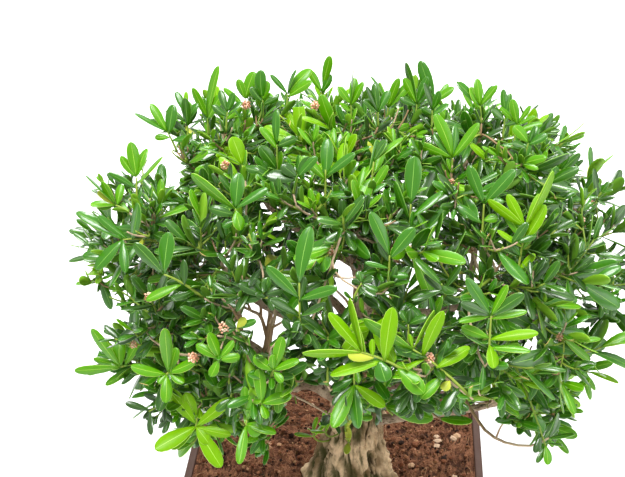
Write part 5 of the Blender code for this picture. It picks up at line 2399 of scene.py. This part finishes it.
@dataclass
class Crown:
    """The foliage: in every mass a stem, branchlets, shoots and spurs, with opposite leaves."""

    limbs: Limbs
    dome: Dome
    branchlets: int = 8
    shoots: int = 30
    spurs: float = 2.2  # for each branchlet and shoot
    places: int = 9000  # tried for the tips of each stage
    draws: int = 14  # that each tip is picked from
    leaf_length: float = 0.0275
    leaf_width: float = 0.0086
    leaf_reach: float = 0.020  # from a shoot's tip to the tips of its leaves
    long_share: float = 0.62  # of the twigs carry long leaves
    long_sizes: tuple[float, float] = (0.80, 1.10)
    small_sizes: tuple[float, float] = (0.42, 0.72)
    long_step: float = 0.0062  # between the first two pairs of long leaves
    small_step: float = 0.0042
    spur_step: float = 0.0036
    set_step: float = 0.0045  # on sprays and bare twigs
    lesser_step: float = 0.0050  # behind listed shoots
    lesser_size: float = 0.60
    sprout_step: float = 0.0040  # at the trunk's foot
    sprout_size: float = 0.68
    folds: tuple[float, float] = (0.06, 0.40)
    curls: tuple[float, float] = (-0.05, 0.24)
    sway: float = 0.035
    twist: float = 0.22
    cut_reach: tuple[float, float] = (0.55, 0.86)  # share of a cut leaf that is left
    proud_root: float = 0.0004  # from a twig's middle line to a leaf's root
    stray: float = 0.34  # how far shoots turn at random
    leafy_level: float = 0.45  # of the dome, below which twigs have no leaves at their tips
    yellow_share: float = 0.003
    cut_share: float = 0.035
    blossom_share: float = 0.07
    stem_radius: float = 0.0022
    twig_radius: float = 0.00115
    tip_radius: float = 0.00055
    sprig_radii: tuple[float, float] = (0.0009, 0.0005)
    sprig_foot: float = 0.008  # from a listed shoot's last pair of leaves to its foot
    spur_lengths: tuple[float, float] = (0.007, 0.016)
    knots: int = 7
    husks: int = 34  # on each flower head
    husk_shares: tuple[float, ...] = (0.48, 0.30, 0.22)  # of each finish
    husk: float = 0.00072  # half a husk's width
    head: float = 0.0024  # radius of a head
    clear: float = 0.015  # round the tips of sprays and sprigs
    hem_clear: float = 0.006  # from a tip down to the dome's hem
    opening_clear: float = 0.004  # round openings
    limb_clear: float = 0.0015  # between a leaf and a bough
    screen: float = 0.52  # radius of a sprig's screen over its longest leaf
    proud: float = 0.008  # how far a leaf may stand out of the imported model's box
    seed: int = 500
    blossoms: list[Array] = field(default_factory=list)

    def aim(self, tips: Array, rng: np.random.Generator) -> Array:
        """The way that shoots point: away from the heart of the crown and up to the light, the
        higher the steeper.

        Args:
            tips: The shoots' tips.
            rng: The random draws.

        Returns:
            A direction for each tip.
        """
        heart = self.dome.middle - UP * self.dome.lower * 0.8
        height = (tips[:, 2:] - self.dome.middle[2]) / self.dome.upper
        lift = np.interp(height, *LIFTS)
        stray = rng.uniform(-1, 1, tips.shape) * self.stray
        return unit(unit(tips - heart) + UP * lift + stray)

    def candidates(self, number: int, stage: Stage, rng: np.random.Generator) -> Array:
        """Places for the tips of one stage in one mass.

        Args:
            number: The mass's number.
            stage: The stage.
            rng: Draws the places.

        Returns:
            Points, any number by 3.
        """
        low, high = stage.value
        spread = rng.uniform(-1, 1, (self.places, 3))
        size = np.array([self.dome.mass_radius, self.dome.mass_radius, self.dome.mass_half_height])
        tips = self.dome.mass(BOUGHS[number]) + spread * size * 1.12
        ahead = tips + self.aim(tips, rng) * self.leaf_reach
        level = self.dome.level(ahead)
        keep = (level > low) & (level < high) & (self.dome.owner(tips) == number)
        keep &= (self.dome.over_hem(tips) > self.hem_clear) & (np.linalg.norm(spread, axis=1) < 1.1)
        for opening in OPENINGS:
            keep &= ~opening.holds(ahead, self.opening_clear)
        standing = np.array([shoot.tip(self.dome) for shoot in (*SPRAYS, *SPRIGS)])
        keep &= (np.linalg.norm(tips[:, None] - standing, axis=2) > self.clear).all(1)
        return tips[keep]

    def spread_out(self, found: Array, count: int, taken: Array, rng: np.random.Generator) -> Array:
        """Tips picked one by one, each the one of a few draws that is furthest from all so far.

        Args:
            found: Places for tips.
            count: How many to pick.
            taken: Tips that they keep away from.
            rng: Makes the draws.

        Returns:
            The tips, none where no place was found.
        """
        chosen = []
        for _ in range(count if len(found) else 0):
            draws = found[rng.integers(len(found), size=self.draws)]
            apart = np.linalg.norm(draws[:, None] - taken[None], axis=2).min(1)
            best = draws[apart.argmax()]
            chosen.append(best)
            taken = np.concatenate([taken, best[None]])
        return np.array(chosen).reshape(-1, 3)

    def stem(self, bough: Bough, net: Network) -> None:
        """The first twig of a mass, which carries on from its bough's tip.

        Args:
            bough: The bough.
            net: The mass's twigs, which the stem joins.
        """
        path = self.limbs.paths[bough.name]
        heading = unit(path[-1] - path[-2])
        foot = path[-1]
        heart = foot + (self.dome.mass(bough) - foot) * 0.75
        line = bezier(foot, foot + heading * 0.012, heart - heading * 0.006, heart, self.knots)
        line[0] -= heading * 0.004
        end = self.twig_radius * 1.4
        net.add(line, np.linspace(self.stem_radius * 1.12, end, self.knots), False)
        for i in (3, 4, 6):
            net.joints.append((line[i], unit(line[i] - line[i - 1]), i * 0.004, end))

    def shoot(self, aim: Array, tip: Array, net: Network, green: bool, guard: bool = False) -> Array | None:
        """Grows one twig from the nearest joint to a tip, which it reaches pointing near aim.

        Args:
            aim: The way it points at its tip.
            tip: Its tip.
            net: The mass's twigs, which gains it.
            green: True for a young shoot.
            guard: True where it may not cross an opening.

        Returns:
            Its path, or None where it would cross an opening.
        """
        joint, along, back, thick = net.nearest(tip)
        way = tip - joint
        span = float(np.linalg.norm(way))
        aim = unit(aim + unit(way) * 0.25)
        line = bezier(joint, joint + along * span * 0.30, tip - aim * span * 0.40, tip, self.knots)
        if guard and any(opening.holds(line[2:]).any() for opening in OPENINGS):
            return None
        foot = min(thick, self.twig_radius)
        net.add(line, np.linspace(foot, self.tip_radius, self.knots), green)
        for i in (2, 3, 4):
            share = i / (self.knots - 1)
            radius = foot + (self.tip_radius - foot) * share
            net.joints.append((line[i], unit(line[i + 1] - line[i]), back + span * share, radius))
        return line

    @staticmethod
    def nodes(path: Array, count: int, step: float, rng: np.random.Generator) -> tuple[Array, Array]:
        """Where pairs of leaves stand on a twig, from its tip back, wider apart the older.

        Args:
            path: The twig.
            count: Number of pairs.
            step: Between the first two.
            rng: Draws how close they all stand.

        Returns:
            The places that lie on the twig's outer part, and its direction at each.
        """
        spans = np.linalg.norm(np.diff(path, axis=0), axis=1)
        so_far = np.concatenate([[0], np.cumsum(spans)])
        number = np.arange(count)
        gaps = step * (0.25 + number + 0.10 * number**2)
        at = so_far[-1] - gaps * rng.uniform(0.9, 1.15)
        at = at[at > so_far[-1] * 0.12]
        place, ahead, behind = (
            np.stack([np.interp(at + shift, so_far, path[:, axis]) for axis in range(3)], 1)
            for shift in (0.0, 0.002, -0.002)
        )
        return place, unit(ahead - behind)

    def pairs(
        self,
        path: Array,
        leaves: Leaves,
        count: int,
        size: float,
        age: int,
        rng: np.random.Generator,
        step: float,
        spray: Spray | None = None,
    ) -> None:
        """Sets opposite pairs of leaves from a twig's tip back, each turned a quarter from the
        last. The youngest stand close round the tip, and the older ones lean further out.

        Args:
            path: The twig.
            leaves: Gathers them.
            count: Number of pairs.
            size: Length and width over the usual ones.
            age: Age of the spray.
            rng: Draws the variation.
            step: Between the first two pairs.
            spray: The spray that standing-out leaves belong to, which sets how they turn.
        """
        place, axis = self.nodes(path, count, step, rng)
        count = len(place)
        if not count:
            return
        both = 2 * count
        level = np.where(np.abs(axis[:, 2:3]) < 0.95, UP, np.array([1.0, 0.0, 0.0]))
        side = unit(np.cross(axis, level))
        other = np.cross(axis, side)
        number = np.arange(count)
        start = rng.uniform(0, TURN)
        lean = np.interp(number, *LEANS)
        grown = np.interp(number, *SIZES)
        if spray:
            start = math.atan2(float(other[0] @ spray.lead()), float(side[0] @ spray.lead()))
            lean = spray.habit.value + (80 - spray.habit.value) * number / 5
            grown = np.interp(number, *SPRAY_SIZES)
        turn = start + number * math.pi / 2 + rng.uniform(-0.2, 0.2, count)
        turn = np.concatenate([turn, turn + math.pi]) + rng.uniform(-0.12, 0.12, both)
        lean = twice(np.radians(lean)) * rng.uniform(0.82, 1.22, both)
        out = twice(side) * np.cos(turn)[:, None] + twice(other) * np.sin(turn)[:, None]
        along = unit(twice(axis) * np.cos(lean)[:, None] + out * np.sin(lean)[:, None])
        light = twice(axis) + UP * 0.7 + rng.normal(0, 0.12, along.shape)
        scale = twice(grown) * size * rng.uniform(0.86, 1.10, both)
        wide = scale * rng.uniform(0.88, 1.14, both)
        older = twice(np.interp(number, *AGEING))
        ages = np.clip(np.floor(age + older + rng.uniform(-0.35, 0.9, both)), 0, OLD.value)
        ages = np.where(rng.uniform(size=both) < self.yellow_share, YELLOW.value, ages)
        cut = rng.uniform(size=both) < self.cut_share
        present = rng.uniform(size=both) > np.clip(0.05 * twice(number), 0, 0.3)
        columns = {
            "root": twice(place) + along * self.proud_root,
            "along": along,
            "face": unit(light - along * dot(light, along)),
            "length": self.leaf_length * scale,
            "width": self.leaf_width * wide,
            "fold": rng.uniform(*self.folds, both),
            "curl": rng.uniform(*self.curls, both),
            "sway": rng.normal(0, self.sway, both),
            "twist": rng.normal(0, self.twist, both),
            "reach": np.where(cut, rng.uniform(*self.cut_reach, both), WHOLE),
            "age": ages,
        }
        leaves.add(**{name: value[present] for name, value in columns.items()})

    def spray_age_and_light(self, tip: Array, rng: np.random.Generator) -> int:
        """The age of a spray: youngest at the low front and at the top's edge, oldest inside and
        behind. Near the top the younger, paler tint is also painted light.

        Args:
            tip: The spray's tip.
            rng: The random draws.

        Returns:
            The age of its leaves.
        """
        size = np.array([self.dome.half_width, self.dome.half_depth, self.dome.upper])
        _, back, height = (tip - self.dome.middle) / size
        young = 0.55 * max(0.0, -back) * max(0.0, 0.7 - height) + 0.25 * max(0.0, height - 0.3)
        outer = ease((self.dome.level(tip) - 0.45) / 0.4)
        # Painted light: the higher the spray, the younger and paler its tint.
        high = ease((height - 0.5) / 0.3)
        age = 3.6 - 2.4 * outer * (0.35 + young) - 1.7 * high + rng.normal(0, 0.85)
        return int(np.clip(round(float(age)), NEW.value, DEEP.value))

    def spurs_on(self, path: Array, growth: Growth, age: int, rng: np.random.Generator) -> None:
        """Short side shoots with small leaves on the inner part of a twig.

        Args:
            path: The twig.
            growth: The mass, which gains them.
            age: Age of the twig's leaves.
            rng: Draws them.
        """
        older = min(age + 1, DEEP.value)
        for _ in range(rng.poisson(self.spurs)):
            i = int(rng.integers(1, len(path) - 2))
            along = unit(path[i + 1] - path[i])
            stray = rng.normal(size=3)
            out = unit(stray - along * float(stray @ along))
            way = unit(along * 0.5 + out + UP * 0.35)
            length = rng.uniform(*self.spur_lengths)
            foot = path[i]
            tip = foot + unit(way + UP * 0.35) * length
            arrive = foot + (way + UP * 0.2) * length * 0.7
            line = bezier(foot, foot + way * length * 0.4, arrive, tip, self.knots)
            radii = np.linspace(self.tip_radius * 1.2, self.tip_radius * 0.8, self.knots)
            growth.net.add(line, radii, rng.uniform() < 0.4)
            self.pairs(line, growth.small, 3, rng.uniform(*self.small_sizes), older, rng, self.spur_step)

    def grow(self, number: int, taken: Array) -> tuple[Growth, Array]:
        """Grows one mass.

        Args:
            number: The bough's number.
            taken: Tips of the masses before, which new ones keep away from.

        Returns:
            The mass, and all tips so far.
        """
        bough = BOUGHS[number]
        rng = np.random.default_rng(self.seed + number)
        growth = Growth()
        self.stem(bough, growth.net)
        self.bare_twigs(bough, growth, rng)
        taken = self.grow_stage(number, Stage.BRANCHLETS, self.branchlets, growth, taken, rng)
        self.grow_sprays(number, growth, rng)
        self.grow_sprigs(number, growth, rng)
        taken = self.grow_stage(number, Stage.SHOOTS, self.shoots, growth, taken, rng)
        return growth, taken

    def grow_stage(
        self,
        number: int,
        stage: Stage,
        count: int,
        growth: Growth,
        taken: Array,
        rng: np.random.Generator,
    ) -> Array:
        """Grows the branchlets or the young shoots of one mass, those near its stem first.

        Args:
            number: The bough's number.
            stage: Which of the two.
            count: How many to grow.
            growth: The mass, which gains them.
            taken: Tips that theirs keep away from.
            rng: Draws them.

        Returns:
            All tips so far.
        """
        young = stage is Stage.SHOOTS
        middle = self.dome.mass(BOUGHS[number])
        tips = self.spread_out(self.candidates(number, stage, rng), count, taken, rng)
        order = np.linalg.norm(tips - growth.net.paths[0][-1], axis=1).argsort()
        for tip in tips[order]:
            age = self.spray_age_and_light(tip, rng)
            aim = self.aim(tip[None], rng)[0] + 0.3 * unit(tip - middle)
            path = self.shoot(aim, tip, growth.net, young, guard=young)
            if path is not None:
                self.clothe(path, age, growth, rng)
        return np.concatenate([taken, tips])

    def clothe(self, path: Array, age: int, growth: Growth, rng: np.random.Generator) -> None:
        """Gives a twig its leaves and spurs, and now and then a dry flower head.

        Args:
            path: The twig.
            age: Age of its leaves.
            growth: The mass, which gains them.
            rng: Draws them.
        """
        large = rng.uniform() < self.long_share
        size = rng.uniform(*(self.long_sizes if large else self.small_sizes))
        if self.dome.level(path[-1]) > self.leafy_level:
            leaves, step = (growth.long, self.long_step) if large else (growth.small, self.small_step)
            count = int(rng.integers(3, 6)) + (not large)
            self.pairs(path, leaves, count, size, age, rng, step)
        self.spurs_on(path, growth, age, rng)
        if rng.uniform() < self.blossom_share:
            self.blossoms.append(path[-3])

    def grow_sprays(self, number: int, growth: Growth, rng: np.random.Generator) -> None:
        """Grows the sprays that stand out in one mass.

        Args:
            number: The mass's number.
            growth: What the mass has grown.
            rng: The random draws.
        """
        for spray in SPRAYS:
            tip = spray.tip(self.dome)
            if self.dome.owner(tip) != number:
                continue
            path = self.shoot(spray.axis() * 2.0, tip, growth.net, True)
            age = spray.age.value
            self.pairs(path, growth.long, spray.pairs, spray.size, age, rng, self.set_step, spray)
            inner = path[: self.knots - 2]
            older = min(age + 1, DEEP.value)
            self.pairs(inner, growth.long, 2, spray.size * 0.7, older, rng, self.long_step)

    def grow_sprigs(self, number: int, growth: Growth, rng: np.random.Generator) -> None:
        """Grows the listed shoots of one mass: a twig to each one's foot with a few lesser
        leaves, and a slightly bowed shoot from there.

        Args:
            number: The bough's number.
            growth: The mass, which gains them.
            rng: Draws the variation.
        """
        for sprig in SPRIGS:
            tip = sprig.tip(self.dome)
            if self.dome.owner(tip) != number:
                continue
            axis = sprig.axis()
            straight = max(blade[3] for blade in sprig.blades) / MM + self.sprig_foot
            foot = tip - axis * straight
            lead = self.shoot(axis * 2.0, foot, growth.net, False)
            older = min(sprig.blades[0][4].value + 1, DEEP.value)
            self.pairs(lead, growth.lesser, 3, self.lesser_size, older, rng, self.lesser_step)
            bow = ABOVE * straight * 0.06
            leave, arrive = foot + axis * straight / 3 + bow, tip - axis * straight / 3 + bow
            line = bezier(foot, leave, arrive, tip, self.knots)
            growth.net.add(line, np.linspace(*self.sprig_radii, self.knots), True)
            self.set_blades(sprig, tip, growth.front, rng)

    def set_blades(self, sprig: Sprig, tip: Array, leaves: Leaves, rng: np.random.Generator) -> None:
        """Sets a sprig's leaves. Each points the way that the table says across the view and is
        tipped a little towards the viewpoint, and a narrow one is rolled on its edge.

        Args:
            sprig: The shoot.
            tip: Its tip.
            leaves: Gathers them.
            rng: Draws the variation.
        """
        count = len(sprig.blades)
        turn, span, wide, node = np.array([blade[:4] for blade in sprig.blades]).T
        turn, span, wide, node = np.radians(turn)[:, None], span / MM, wide / MM, node / MM
        tilt = rng.uniform(0.05, 0.50, count)[:, None]
        way = ACROSS * np.cos(turn) + ABOVE * np.sin(turn)
        along = unit(way * np.cos(tilt) + TOWARD * np.sin(tilt))
        length = span / np.cos(tilt[:, 0])
        width = np.maximum(wide, 0.24 * length)
        broad = wide / width
        roll = np.arccos(np.clip(broad, 0, 1)) * rng.choice([-1, 1], count)
        roll = (roll + rng.normal(0, 0.22, count) * broad**2)[:, None]
        face = TOWARD * 0.8 + UP * 0.4
        face = unit(face - along * dot(along, face))
        leaves.add(
            root=tip - sprig.axis() * node[:, None] + along * self.proud_root,
            along=along,
            face=face * np.cos(roll) + np.cross(along, face) * np.sin(roll),
            length=length,
            width=width,
            fold=rng.uniform(0.12, 0.42, count),
            curl=rng.uniform(-0.04, 0.22, count),
            sway=rng.normal(0, 0.045, count),
            twist=rng.normal(0, 0.20, count) * broad,
            reach=WHOLE,
            age=np.array([blade[4].value for blade in sprig.blades]),
        )

    def bare_twigs(self, bough: Bough, growth: Growth, rng: np.random.Generator) -> None:
        """The bare twigs of one mass, each as two tubes that overlap, some with a few leaves at
        the end.

        Args:
            bough: The mass's bough.
            growth: The mass, which gains them.
            rng: Draws the leaves' variation.
        """
        knots = self.knots + 4
        for twig in BARE_TWIGS:
            if twig.bough != bough.name:
                continue
            line = smooth_route(np.array(twig.stops), knots)
            taper = np.linspace(twig.radius, twig.radius * 0.55, knots)
            for part in (slice(self.knots), slice(-self.knots, None)):
                growth.net.add(line[part], taper[part], False)
            if twig.pairs:
                end = line[-self.knots :]
                self.pairs(end, growth.front, twig.pairs, twig.size, GROWN.value, rng, self.set_step)

    def foot_sprouts(self, wood: list[bpy.types.Material], finishes: list[bpy.types.Material]) -> None:
        """Small sprouts low on the front of the trunk.

        Args:
            wood: The twigs' finishes.
            finishes: The leaves' finishes.
        """
        trunk = self.limbs.trunk
        rng = np.random.default_rng(self.seed - 1)
        net, leaves, blades = Network(), Leaves(), Surface()
        radii = np.linspace(self.tip_radius * 1.3, self.tip_radius, self.knots)
        for share, azimuth, length, age in FOOT_SPROUTS:
            turn = math.radians(azimuth)
            out = np.array([math.cos(turn), math.sin(turn), 0.0])
            foot = trunk.middle(share) + out * trunk.radius(share) * 0.9
            tip = foot + (out * 0.8 + UP * 0.7) * length
            line = bezier(foot, foot + out * length * 0.5, tip - UP * length * 0.4, tip, self.knots)
            net.add(line, radii, True)
            self.pairs(line, leaves, 2, self.sprout_size, age.value, rng, self.sprout_step)
            leaves.rows[-1][:, AGE] = age.value
        LONG_LEAF.add_to(blades, leaves.all())
        settle(blades.build("leaves_foot", finishes), "foliage")
        settle(net.tubes(2).build("twigs_foot", wood), "bark")

    def dry_blossoms(self) -> None:
        """Dried flower heads in the axils: each a ball of husks that a spiral by the golden angle
        spreads evenly."""
        rng = np.random.default_rng(self.seed - 2)
        named = [self.dome.place(*place) for place in BLOSSOM_PLACES]
        middles = np.array(named + self.blossoms)
        count, husks = len(middles), self.husks
        large = np.where(np.arange(count) < len(named), 1.1, rng.uniform(0.6, 0.95, count))[:, None, None]
        number = np.arange(husks)
        high = 1 - (2 * number + 1) / husks
        turn = number * math.pi * (3 - math.sqrt(5))
        flat = np.sqrt(1 - high**2)
        ways = np.stack([flat * np.cos(turn), flat * np.sin(turn), high], -1)
        reach = self.head * large * rng.uniform(0.75, 1.15, (count, husks, 1))
        spots = (middles[:, None] + ways * reach).reshape(-1, 3)
        sizes = (self.husk * large * rng.uniform(0.7, 1.2, (count, husks, 3))).reshape(-1, 3)
        heads = Surface()
        heads.add_lumps(spots, sizes, rng.choice(len(HUSKS), len(spots), p=self.husk_shares), rng)
        settle(heads.build("dry_blossoms", [finish.material() for finish in HUSKS]), "foliage")

    def fitting(
        self, shape: LeafShape, rows: Array, clear: tuple[Opening | Screen, ...], inside: bool
    ) -> Array:
        """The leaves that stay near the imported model's box, off its limbs and out of some spaces.

        Args:
            shape: The leaves' shape.
            rows: The leaves.
            clear: The openings and screens that they keep out of.
            inside: True where they also stay inside the dome and over its hem.

        Returns:
            The rows that fit.
        """
        if not len(rows):
            return rows
        points = shape.points(rows)[:, ::2, ::3]
        flat = points.reshape(len(rows), -1, 3)
        low, high = (np.array(corner) for corner in CAD_BOX)
        keep = ((flat > low - self.proud) & (flat < high + self.proud)).all((1, 2))
        if inside:
            keep &= (self.dome.level(flat) < 1.07).all(1) & (self.dome.over_hem(flat) > -0.004).all(1)
        for space in clear:
            keep &= ~space.holds(flat).any(1)
        return rows[keep & self.off_limbs(rows)]

    def off_limbs(self, rows: Array) -> Array:
        """Which leaves keep clear of every bough, by three places on each leaf's middle line.

        Args:
            rows: The leaves.

        Returns:
            True or False for each.
        """
        starts, ends, radii = self.limbs.stretches()
        root, along, length = rows[:, None, 0:3], rows[:, None, 3:6], rows[:, LENGTH, None]
        line = root + along * (length * np.array([0.3, 0.6, 0.9]))[..., None]
        way = ends - starts
        share = ((line[:, :, None] - starts) * way).sum(-1) / (way * way).sum(-1)
        near = starts + way * np.clip(share, 0, 1)[..., None]
        apart = np.linalg.norm(line[:, :, None] - near, axis=-1) - radii
        return (apart > self.limb_clear).all((1, 2))

    def screens(self) -> list[Screen]:
        """The space in front of each listed shoot."""
        reach = [self.screen * max(blade[1] for blade in sprig.blades) / MM for sprig in SPRIGS]
        return [Screen(sprig.tip(self.dome), radius) for sprig, radius in zip(SPRIGS, reach)]

    def build(self) -> None:
        """Every mass, as one piece of leaves and one of twigs, then the sprouts on the trunk and
        the flower heads."""
        blades = [BLADES[age].material() for age in Age]
        finishes = blades + [finish.material() for finish in (*LINES, *UNDERS, CUT_EDGE)]
        wood = [finish.material() for finish in TWIGS]
        taken = np.full((1, 3), FAR)
        spaces = (*OPENINGS, *self.screens())
        total = 0
        for number, bough in enumerate(BOUGHS):
            growth, taken = self.grow(number, taken)
            leaves = Surface()
            kinds = (
                (LONG_LEAF, growth.long, spaces, True),
                (SMALL_LEAF, growth.small, spaces, True),
                (LONG_LEAF, growth.lesser, OPENINGS, False),
                (LONG_LEAF, growth.front, (), False),
            )
            for shape, kind, clear, inside in kinds:
                rows = self.fitting(shape, kind.all(), clear, inside)
                total += len(rows)
                shape.add_to(leaves, rows)
            green = np.array(growth.net.green)
            twigs = growth.net.tubes(green * 2 + np.arange(len(green)) % 2)
            settle(leaves.build("leaves_" + bough.name, finishes), "foliage", "foliage_" + bough.name)
            settle(twigs.build("twigs_" + bough.name, wood), "bark")
        self.foot_sprouts(wood, finishes)
        self.dry_blossoms()
        log.info("%d leaves", total)


# ---- Studio -------------------------------------------------------------------------------
@dataclass(frozen=True)
class Lamp:
    """A square soft light that faces the crown.

    Attributes:
        name: Its name.
        place: Where it hangs.
        size: Its width.
        watts: Its power.
    """

    name: str
    place: Triple
    size: float
    watts: float

    def hang(self, target: Triple) -> None:
        """Hangs the lamp and turns it towards a target.

        Args:
            target: The place that it lights.
        """
        lamp = bpy.data.lights.new(self.name, "AREA")
        lamp.size = self.size
        lamp.energy = self.watts
        holder = bpy.data.objects.new(self.name, lamp)
        bpy.context.scene.collection.objects.link(holder)
        holder.location = self.place
        aim = np.array(target) - np.array(self.place)
        yaw = math.atan2(-aim[0], aim[1])
        pitch = math.atan2(math.hypot(aim[0], aim[1]), -aim[2])
        holder.rotation_euler = (pitch, 0.0, yaw)


LAMPS = (
    Lamp("key", (-0.2, -0.55, 1.9), 0.80, 42.0),
    Lamp("fill", (1.3, -0.3, 1.0), 1.2, 9.0),
    Lamp("sheen", (0.1, 1.5, 1.5), 0.9, 46.0),
)


@dataclass(frozen=True)
class Studio:
    """A pale floor, soft light and the camera."""

    floor_size: float = 30.0
    sky: float = 0.70  # strength of the white light from all round
    target: Triple = (0.0, 0.0, 0.25)  # that the lamps face
    lens: float = 65.0

    def floor(self) -> None:
        """A level sheet under the pot, very slightly uneven in tone."""
        graph = Graph("floor_pale")
        cloud = graph.noise(0.9, 2.0)
        colour = graph.mix(cloud, shade(243, 243, 244), shade(249, 249, 249))
        finish = graph.dress(Base_Color=colour, Roughness=0.9, Specular_IOR_Level=0.1)
        half = self.floor_size / 2
        sheet = Surface()
        corners = np.array([[-half, -half, 0], [half, -half, 0], [half, half, 0], [-half, half, 0]])
        sheet.add(corners, [np.array([[0, 1, 2, 3]])])
        sheet.build("floor", [finish])

    def camera(self) -> None:
        """The camera, at the viewpoint."""
        lens = bpy.data.cameras.new("camera")
        lens.lens = self.lens
        camera = bpy.data.objects.new("camera", lens)
        scene = bpy.context.scene
        scene.collection.objects.link(camera)
        camera.location = VIEWPOINT
        camera.rotation_euler = (VIEW_TILT, 0.0, VIEW_TURN)
        scene.camera = camera

    def build(self) -> None:
        """Floor, world, lights and camera."""
        self.floor()
        world = bpy.data.worlds.new("studio")
        world.use_nodes = True
        sky = world.node_tree.nodes["Background"]
        sky.inputs["Color"].default_value = (1.0, 1.0, 1.0, 1.0)
        sky.inputs["Strength"].default_value = self.sky
        scene = bpy.context.scene
        scene.world = world
        scene.view_settings.view_transform = "Standard"
        for lamp in LAMPS:
            lamp.hang(self.target)
        self.camera()


def main() -> None:
    """Builds the pot, the soil, the limbs and the foliage, then the studio, and notes the size."""
    logging.basicConfig(level=logging.INFO, format="%(message)s")
    trunk = Trunk()
    pot = Pot()
    pot.build()
    Soil(pot, trunk.foot).build()
    dome = Dome(trunk)
    limbs = Limbs(trunk, dome)
    limbs.build()
    Crown(limbs, dome).build()
    Studio().build()


if __name__ == "__main__":
    main()
